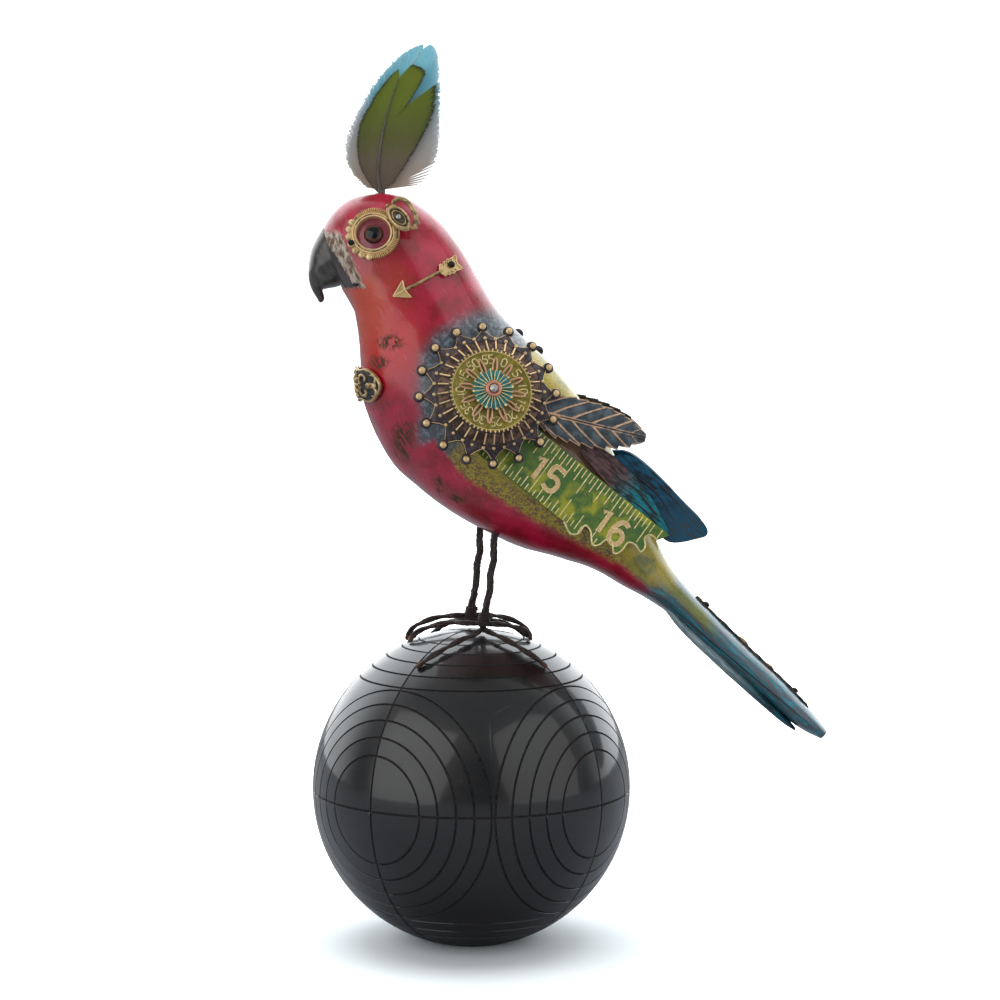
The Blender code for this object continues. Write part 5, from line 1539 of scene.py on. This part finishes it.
    # verdigris flower with rubbed ribs
    rows = []
    for share in (0.17, 0.45, 0.75, 0.93, 1.0):
        row = []
        for k in range(145):
            turn = 2 * pi * k / 144
            lobe = abs(cos(6 * (turn - radians(look["petalAt"] + 15)))) ** 0.7
            radius = share * look["flower"] * (0.80 + 0.20 * lobe * share)
            row.append(Vector((radius * cos(turn), radius * sin(turn),
                               2.35 + 0.35 * lobe * share - 0.5 * share ** 3)))
        rows.append(row)
    flower = slab(rows, lambda r, c, p: Vector((p.x, p.y, 1.8)))
    add("Flower", flower, "verdigris", "verdigris", ["flower"])
    ribs = grow("bar", {"Count": 24, "Radius": 2.6, "Start": radians(look["petalAt"]), "Lift": 2.72,
                        "Slope": 0.10, "Size": (3.9, 0.17, 0.26), "Jitter": 0.2}, "gold")
    tips = grow("bead", {"Count": 12, "Radius": 6.5, "Start": radians(look["petalAt"] + 15), "Lift": 2.35,
                         "Size": (0.42, 0.40, 0.34), "Jitter": 0.3}, "gold")
    add("FlowerRibs", joined([ribs, tips]), "marks", "verdigris")
    eyelet = turnedShape([(1.1, 3.0), (2.6, 3.0), (2.75, 3.15), (2.7, 3.45), (2.4, 3.75), (1.95, 3.82),
                          (1.65, 3.6), (1.5, 3.2), (1.1, 3.1)], 48)
    add("Eyelet", eyelet, "salmon", "copper", ["eyelet"], sharp=60)
    nailHead(side + "RosetteNail", place @ Matrix.Translation((0.0, 0.0, 3.35)), 1.42, "steel", "steel",
             [side + "_rosette_nail"], facets=9, shaft=9.0)


for side in sides:
    buildRosette(side)
print("rosettes done")


ruleLook = {
    "corner": (2.4, -27.3, 166.1), "ahead": (0.772, 0.090, -0.629), "across": (0.600, 0.309, 0.737),
    "width": 19.05, "thick": 0.7, "inch": 25.8, "first": 21.0, "length": 67.5, "numeralHigh": 8.2,
    "numerals": [(21.6, 4.9), (49.4, 4.6)], "cut": [(36.2, 0.2), (40.2, -1.6), (42.4, 0.2), (42.6, 3.6),
                                                    (45.4, 3.2), (48.3, 0.2), (50.2, 1.6),
            (51.2, 4.6), (53.6, 4.6), (55.9, 2.4), (57.4, 4.8), (57.6, 8.2), (60.0, 9.2), (62.7, 8.5),
                                                    (63.0, 10.8),
            (61.1, 13.2), (62.4, 15.2), (65.0, 15.0)],
}
wingLook = {
    "short": [(27.0, 22.0), (28.5, 26.4), (34.6, 28.2), (44.0, 27.8), (53.0, 26.0), (60.0, 23.4),
              (67.0, 19.6), (65.0, 17.2), (55.0, 17.0), (44.0, 19.0)],
    "long": [(36.0, 28.0), (41.0, 32.2), (47.4, 33.3), (57.4, 32.6), (66.0, 31.4), (74.8, 30.4),
             (78.0, 28.4), (76.6, 25.2), (69.4, 18.2), (60.0, 19.5), (48.0, 23.0), (40.0, 24.5)],
    "shortDepth": 1.0, "shortThick": 1.0, "longDepth": 2.4, "longThick": 1.8,
    "seams": [[(40.0, 22.4), (46.0, 24.2), (54.0, 23.4), (62.0, 21.0)],
              [(47.0, 20.0), (55.0, 20.6), (63.0, 19.4)]],
    "longSeams": [[(43.0, 27.5), (50.0, 28.3), (58.0, 27.6), (66.0, 24.6)],
                  [(52.0, 31.6), (60.0, 30.6), (68.0, 29.0)]],
}


def rulePlace():  # takes (along, across, outwards) of the rule to a point on the left side
    turn = Matrix(squared(ruleLook["ahead"], ruleLook["across"])).transposed().to_4x4()
    return Matrix.Translation(Vector(ruleLook["corner"])) @ turn


def insideCut(outline, point):
    inside = False
    for (ax, ay), (bx, by) in zip(outline, outline[1:] + outline[:1]):
        if (ay > point[1]) != (by > point[1]) and point[0] < (bx - ax) * (point[1] - ay) / (by - ay) + ax:
            inside = not inside
    return inside


def clipTicks(bm, outline):  # takes away the marks that fall beyond the wavy end
    islands = []
    seen = set()
    for face in bm.faces:
        if face in seen:
            continue
        island, queue = set(), [face]
        while queue:
            item = queue.pop()
            if item in island:
                continue
            island.add(item)
            queue += [f for e in item.edges for f in e.link_faces if f not in island]
        seen |= island
        islands.append(island)
    gone = []
    for island in islands:
        verts = {v for f in island for v in f.verts}
        ends = [min(v.co.y for v in verts) + 0.05, max(v.co.y for v in verts) - 0.05]
        x = sum(v.co.x for v in verts) / len(verts)
        if not all(insideCut(outline, (x, y)) for y in ends):
            gone += verts
    bmesh.ops.delete(bm, geom=gone, context="VERTS")


def buildRules():
    look = ruleLook
    place = rulePlace()
    wave = smoothPath([Vector(p) for p in look["cut"]], 6)
    corners = [(look["length"], look["width"]), (0.0, look["width"])]
    outline = [(0.0, 0.0)] + [(p.x, p.y) for p in wave] + corners
    addPair("rule", plate(outline, look["thick"] - 0.06, -look["thick"]), "rule", "green_rule", ["ruler"],
            place=place, bevel=(0.12, 2, 50))
    pitch = look["inch"] / 16
    lead = round(look["first"] / pitch)
    upper, lower = (grow("marks", {"Count": 42, "Pitch": pitch, "First": -lead, "Width": 0.34, "High": 0.18,
                                   "Lengths": lengths, "Longest": longest}, "marks")
                    for lengths, longest in (((3.3, 5.5, 7.0), 8.6), ((2.3, 4.2, 5.6), 7.2)))
    across = Matrix.Translation((0.0, look["width"] - 0.35, 0.0)) @ flip
    bmesh.ops.transform(upper, matrix=across, verts=upper.verts)
    bmesh.ops.translate(lower, vec=(0.0, 0.35, 0.0), verts=lower.verts)
    marks = joined([upper, lower])
    bmesh.ops.translate(marks, vec=(look["first"], 0.0, -0.12), verts=marks.verts)
    clipTicks(marks, outline)
    lines = []
    for inch in range(2):
        x = look["first"] + inch * look["inch"]
        low = next(y / 10 for y in range(2, 190) if insideCut(outline, (x, y / 10))) + 0.2
        lines.append(tube([Vector((x, low, -0.06)), Vector((x, look["width"] - 0.4, -0.06))], 0.17, 6))
    edge = [Vector((p.x, p.y, -0.08)) for p in wave]
    lines.append(tube(edge, 0.30, 8))
    addPair("ruleMarks", joined([marks] + lines), "marks", "green_rule", place=place)
    for side in sides:  # numerals read the right way on both sides
        parts, cores = [], []
        for inch, text in enumerate(("15", "16")):
            x, y = look["numerals"][inch]
            for i, digit in enumerate(text):
                high = look["numeralHigh"]
                wide = high * 0.92
                offset = -5.0 if i == 0 else 1.4
                path = []
                for a, b in digitStrokes[digit]:
                    local = offset + a * wide
                    path.append(Vector((x + (local if side == "left" else -local), y + b * high, -0.02)))
                path = smoothPath(path, 3) if digit in "056" else path
                up = [Vector((0.0, 0.0, 1.0))] * len(path)
                cores.append(tube(path, 0.66, 8, 0.24, up))
                parts.append(tube(offsetPath(path, 0.66), 0.19, 6))
                parts.append(tube(offsetPath(path, -0.66), 0.19, 6))
        addPiece(side + "RuleNumerals", joined(cores), "numerals", "green_rule", place=halves[side] @ place)
        addPiece(side + "NumeralRims", joined(parts), "marks", "green_rule", place=halves[side] @ place)


def offsetPath(path, distance):
    moved = []
    for i, point in enumerate(path):
        ahead = headingAt(path, i)
        moved.append(point + Vector((-ahead.y, ahead.x, 0.0)) * distance + Vector((0.0, 0.0, 0.06)))
    return moved


def buildWings():
    look = wingLook
    place = rulePlace()
    for name, paint in (("short", "mauveWing"), ("long", "tealWing")):
        outline = smoothPath([Vector(p) for p in look[name] + look[name][:1]], 5)[:-1]
        outline = [(p.x, p.y) for p in outline]
        depth, thick = look[name + "Depth"], look[name + "Thick"]
        bm = plate(outline, thick, -depth - thick)
        addPair(name + "Wing", bm, paint, "blue_wood", ["wing_" + name], place=place, bevel=(0.38, 3, 50))
    seams = []
    lines = [(s, look["shortDepth"]) for s in look["seams"]]
    lines += [(s, look["longDepth"]) for s in look["longSeams"]]
    for seam, depth in lines:
        path = [Vector((p.x, p.y, -depth)) for p in smoothPath([Vector(p) for p in seam], 8)]
        count = len(path)
        seams.append(tube(path, [0.05 + 0.26 * sin(pi * k / (count - 1)) for k in range(count)], 6))
    addPair("wingSeams", joined(seams), "seam", "blue_wood", place=place)


leafLook = {"base": (21.5, -19.6, 179.2), "tip": (57.4, -15.6, 170.2), "thick": 0.7,
            "halves": [2.6, 6.4, 7.7, 8.0, 7.9, 7.4, 6.3, 4.6, 1.4], "teeth": 9, "veins": 5}


def buildLeaves():
    look = leafLook
    base, tip = Vector(look["base"]), Vector(look["tip"])
    ahead, across, out = squared(tip - base, ruleLook["across"])
    length = (tip - base).length
    halves = [p.x for p in smoothPath([Vector((h, 0.0)) for h in look["halves"]], 16)]
    rows, marks = [], []
    for r, half in enumerate(halves):
        share = r / (len(halves) - 1)
        row, mark = [], []
        for c in range(49):
            step = -1.0 + c / 24
            saw = (share * look["teeth"]) % 1.0
            bite = (1.25 if step < 0 else 0.6) * (1.0 - saw) * min(1.0, 8 * share, 8 * (1 - share))
            reach = (half - bite * abs(step) ** 3) * step
            offset = abs(reach)
            lean = share * length - offset * 1.25 - 0.045 * offset * offset
            pitch = length * 0.92 / look["veins"]
            gap = abs((lean + 9.0) / pitch - round((lean + 9.0) / pitch)) * pitch * 0.62
            inRange = 1.0 if -14.0 < lean < length * 0.86 else 0.0
            width = 0.62 - 0.022 * offset
            side = inRange * max(0.0, 1.0 - (gap / width) ** 2)
            rib = max(0.0, 1.0 - ((abs(offset - 0.42)) / 0.40) ** 2) * (1 - 0.4 * share)
            edge = max(0.0, 1.0 - (half - bite - offset) / 0.85) if half > 0.9 else 1.0
            vein = max(side * min(1.0, offset / 0.6), rib, edge * 0.9)
            puff = 0.34 * (0.5 - 0.5 * cos(2 * pi * (lean + 9.0) / pitch)) * min(1.0, offset / 2) * inRange
            height = 0.34 * vein + puff * (1 - vein) + 0.25 * sin(share * 9.0) * (offset / 8) ** 2
            spot = base + ahead * (length * share) + across * reach - out * (0.8 * step**2 - height)
            row.append(spot + out * look["thick"] * 0.55)
            mark.append(min(1.0, vein))
        rows.append(row)
        marks.append(mark)
    bm = slab(rows, lambda r, c, p: p - out * 0.55)
    layer = bm.verts.layers.float.new("vein")
    bm.verts.ensure_lookup_table()
    count = len(rows) * len(rows[0])
    for i in range(count):
        bm.verts[i][layer] = marks[i // 49][i % 49]
    stem = smoothPath([base - ahead * 1.5 + out * 0.3, base + ahead * 3.0 + out * 0.9,
                       base + ahead * 8.0 + out * 0.7], 6)
    stemTube = tube(stem, [0.9 - 0.05 * k for k in range(len(stem))], 10)
    stemLayer = stemTube.verts.layers.float.new("vein")
    for vert in stemTube.verts:
        vert[stemLayer] = 1.0
    addPair("leaf", joined([bm, stemTube]), "leaf", "slate_copper", ["leaf"], sharp=55)


buildRules()
buildWings()
buildLeaves()
print("rule, wings and leaves done")


legLook = {
    "ball": 53.5, "foot": 15.0, "legWire": 0.80, "toeWire": 0.62,
    "left": {"top": (8.2, -7.0, 139.5), "foot": (3.6, -7.0, 101.0),
             "toes": [((-17.0, -25.4), 0.8), ((19.5, -2.6), 2.4), ((-20.3, -3.2), 2.4),
                      ((24.6, -20.0), 0.8)]},
    "right": {"top": (3.3, 7.0, 141.0), "foot": (-0.9, 7.0, 101.0),
              "toes": [((-21.4, 5.6), 3.4), ((19.5, 20.0), 2.0), ((-14.0, 24.0), 2.0), ((19.6, 4.4), 3.4)]},
}


def onBall(x, y, lift):
    rise = sqrt(legLook["ball"]**2 - legLook["foot"]**2)
    out = Vector((x, y, sqrt(max(legLook["ball"]**2 - x * x - y * y, 0.0))))
    return Vector((0.0, 0.0, rise)) + out.normalized() * (legLook["ball"] + lift)


def markRust(bm, ends):
    layer = bm.verts.layers.float.new("rust")
    for vert in bm.verts:
        gap = min((vert.co - end).length for end in ends)
        vert[layer] = max(0.0, 1.0 - gap / 4.5) * 0.8


def buildLeg(side):
    look = legLook[side]
    top, foot = Vector(look["top"]), Vector(look["foot"])
    ankle = onBall(foot.x, foot.y, 0.0)
    down = (ankle - top).normalized()
    knee = top.lerp(ankle, 0.5) + Vector((0.6, 0.0, 0.0))
    path = smoothPath([top - down * 5.0, top, knee, ankle - down * 4.0, ankle - down * 2.2], 10)
    wobble = [p + Vector((0.22 * sin(k * 0.9), 0.16 * cos(k * 0.7), 0.0)) for k, p in enumerate(path)]
    parts = [grow("strands3", {"Count": 90, "Wire": legLook["legWire"], "Offset": 0.50, "Twist": 0.26},
                  "wire", pathMesh(wobble))]
    tips = []
    for number, (end, arch) in enumerate(look["toes"]):
        start = ankle.xy
        radius = legLook["toeWire"] * 1.55
        bow = 0.65 if arch < 1.0 else 1.0  # a front toe runs forward before it spreads
        aside = Vector((0.3 * cos(number * 1.6), 0.3 * sin(number * 1.6), 0.0))
        spots = [ankle - down * (0.9 + arch) + aside]
        for share, lift in ((0.22, radius + 0.9 * arch + 0.3), (0.5, radius + arch + 0.2),
                            (0.80, radius + 0.85 * arch), (0.93, radius + 0.4 * arch),
                            (1.0, radius * 0.75)):
            flat = Vector((start.x + (end[0] - start.x) * share ** (2.0 - bow),
                           start.y + (end[1] - start.y) * share**bow))
            sway = 0.5 * sin(number * 2.1 + share * 6.0)
            spots.append(onBall(flat.x + sway * 0.5, flat.y + sway, lift))
        toe = smoothPath(spots, 7)
        parts.append(grow("strands2", {"Count": 60, "Wire": legLook["toeWire"], "Offset": 0.36,
                                       "Twist": 0.34}, "wire",
                          pathMesh(toe)))
        claw = [toe[-1], toe[-1] + (toe[-1] - toe[-4]) * 0.5]
        parts.append(tube([toe[-6], toe[-1], claw[1]], [0.8, 0.62, 0.25], 8))
        tips.append(toe[-1])
    leg = joined(parts)
    for vert in leg.verts:
        grain = vert.co * 0.8
        vert.co += Vector((noise.noise(grain), noise.noise(grain + Vector((7, 0, 0))), 0.0)) * 0.24
        vert.co += vert.normal * noise.noise(vert.co * 2.2) * 0.12
    markRust(leg, tips)
    addPiece(side + "Leg", leg, "wire", "dark_wire", [side + "_leg"])
    # wire bound round the ankle
    middle = ankle.lerp(knee, 0.27)
    turns = []
    for k in range(84):
        a = 2 * pi * k / 17
        turns.append(Vector(((1.62 + 0.12 * sin(k * 0.8)) * cos(a), (1.62 + 0.12 * cos(k * 0.5)) * sin(a),
                             -2.2 + 4.4 * k / 83)))
    wrap = grow("strands2", {"Count": 170, "Wire": 0.36, "Offset": 0.3, "Twist": 1.1}, "wire",
                pathMesh(turns))
    addPiece(side + "AnkleWrap", wrap, "wire", "dark_wire", [side + "_ankle_wrap"],
             place=along(-down, middle))


for side in sides:
    buildLeg(side)
print("legs done")


crestLook = {
    "at": (-29.8, 0.0, 249.4),
    "pale": {
        "vane": 0.75, "barbs": 170, "width": 0.60,
        "outline": [(-30.6, 251.0), (-35.0, 252.6), (-39.8, 258.0), (-41.5, 264.5), (-39.9, 271.5),
                    (-36.6, 278.2), (-33.0, 284.5), (-27.6, 291.4), (-21.7, 296.6), (-16.5, 299.0),
                    (-13.0, 299.0), (-11.0, 295.0), (-10.5, 287.0), (-10.5, 276.0), (-11.0, 264.5),
                    (-13.6, 257.0), (-18.5, 252.9), (-25.0, 251.2),
                    (-28.8, 251.0)],
        "shaft": [(-29.8, 249.0), (-29.3, 262.0), (-26.5, 276.0), (-21.5, 289.0), (-16.0, 297.5)],
    },
    "green": {
        "vane": -0.9, "barbs": 200, "width": 0.46,
        "outline": [(-30.8, 250.6), (-33.5, 253.5), (-36.6, 259.0), (-37.6, 266.0), (-36.4, 273.5),
                    (-33.0, 280.0), (-29.9, 284.6), (-25.6, 289.4), (-20.6, 292.4), (-15.2, 290.2),
                    (-17.6, 284.5),
                    (-21.4, 278.6),
                    (-15.2, 285.6), (-11.8, 288.6), (-11.4, 283.0), (-13.0, 275.5), (-16.8, 267.5),
                    (-21.6, 259.6),
                    (-27.6, 250.6)],
        "shaft": [(-30.0, 248.6), (-30.6, 258.0), (-29.4, 268.0), (-26.8, 279.0), (-23.6, 288.0)],
    },
}


def reachOut(outline, start, way):  # how far a flat ray runs before it leaves the outline for good
    far = 0.0
    for a, b in zip(outline, outline[1:] + outline[:1]):
        a, b = Vector(a), Vector(b)
        edge = b - a
        cross = way.x * edge.y - way.y * edge.x
        if abs(cross) < 1e-9:
            continue
        gap = a - start
        t = (gap.x * edge.y - gap.y * edge.x) / cross
        s = (gap.x * way.y - gap.y * way.x) / cross
        if t > 0 and 0 <= s <= 1:
            far = t if far == 0.0 else min(far, t)
    return far


def buildFeather(name, paint, shaftPaint, slot, node):
    look = crestLook[name]
    shaft = smoothPath([Vector(p) for p in look["shaft"]], 40)
    outline = [(p.x, p.y) for p in smoothPath([Vector(p) for p in look["outline"]], 4)]
    low, high = look["outline"][0][1], max(p[1] for p in look["outline"])
    lean = 0.02

    def depth(z):
        return look["vane"] * (1 + lean * max(z - crestLook["at"][2], 0.0))

    points, aims, reaches = [], [], []
    last = {1: 0.0, -1: 0.0}
    total = len(shaft)
    for k in range(look["barbs"] * 2):
        share = (k // 2) / look["barbs"]
        i = min(int(4 + share * (total - 6)), total - 2)
        spot = shaft[i]
        ahead = (shaft[i + 1] - shaft[i - 1]).normalized()
        sign = 1 if k % 2 else -1
        turn = radians(62 - 40 * share ** 1.2) * sign
        way = Vector((ahead.x * cos(turn) + ahead.y * sin(turn),
                      -ahead.x * sin(turn) + ahead.y * cos(turn)))
        far = reachOut(outline, spot, way)
        # a barb that meets a dent in the outline keeps its length
        if name == "pale" and far < 0.7 * last[sign]:
            far = last[sign] * 0.97
        last[sign] = far
        if far < 0.6:
            continue
        layer = 0.10 * ((k // 2) % 3) - 0.10
        points.append(Vector((spot.x, depth(spot.y) + layer, spot.y)))
        aims.append((0.0, -atan2(way.y, way.x), 0.0))
        reaches.append(far)
    if name == "pale":  # loose barbs that fill the wide foot of the feather
        for k in range(60):
            share = k / 59
            turn = radians(-10 + 200 * share)
            way = Vector((cos(turn), max(sin(turn), 0.12))).normalized()
            spot = Vector((-29.6, 251.8))
            far = reachOut(outline, spot, way)
            if far > 0.6:
                points.append(Vector((spot.x, depth(spot.y) + 0.2, spot.y)))
                aims.append((0.0, -atan2(way.y, way.x), 0.0))
                reaches.append(far * 0.99)
    mesh = bpy.data.meshes.new("barbPoints")
    mesh.from_pydata([tuple(p) for p in points], [], [])
    aimed = [v for aim in aims for v in aim]
    mesh.attributes.new("aim", "FLOAT_VECTOR", "POINT").data.foreach_set("vector", aimed)
    mesh.attributes.new("reach", "FLOAT", "POINT").data.foreach_set("value", reaches)
    barbs = grow("barbs", {"Width": look["width"], "Droop": -0.10, "Jitter": 0.035, "Seed": 4}, paint, mesh)
    run = barbs.verts.layers.float.new("along")
    for vert in barbs.verts:
        vert[run] = (vert.co.z - low) / (high - low)
    addPiece(name + "Barbs", barbs, paint, slot, [node], sharp=60)
    width = [0.62 - 0.5 * k / (total - 1) for k in range(total)]
    rod = [Vector((p.x, depth(p.y) - (0.25 if name == "green" else 0.0), p.y)) for p in shaft]
    foot = [Vector((crestLook["at"][0], look["vane"] * 0.5, crestLook["at"][2] - 3.0))]
    bm = tube(foot + rod, [0.62] + width, 10)
    addPiece(name + "Shaft", bm, shaftPaint, slot)


buildFeather("pale", "paleFeather", "quillPale", "pale_feather", "crest_feather_pale")
buildFeather("green", "greenFeather", "quill", "green_feather", "crest_feather_green")
print("crest done")
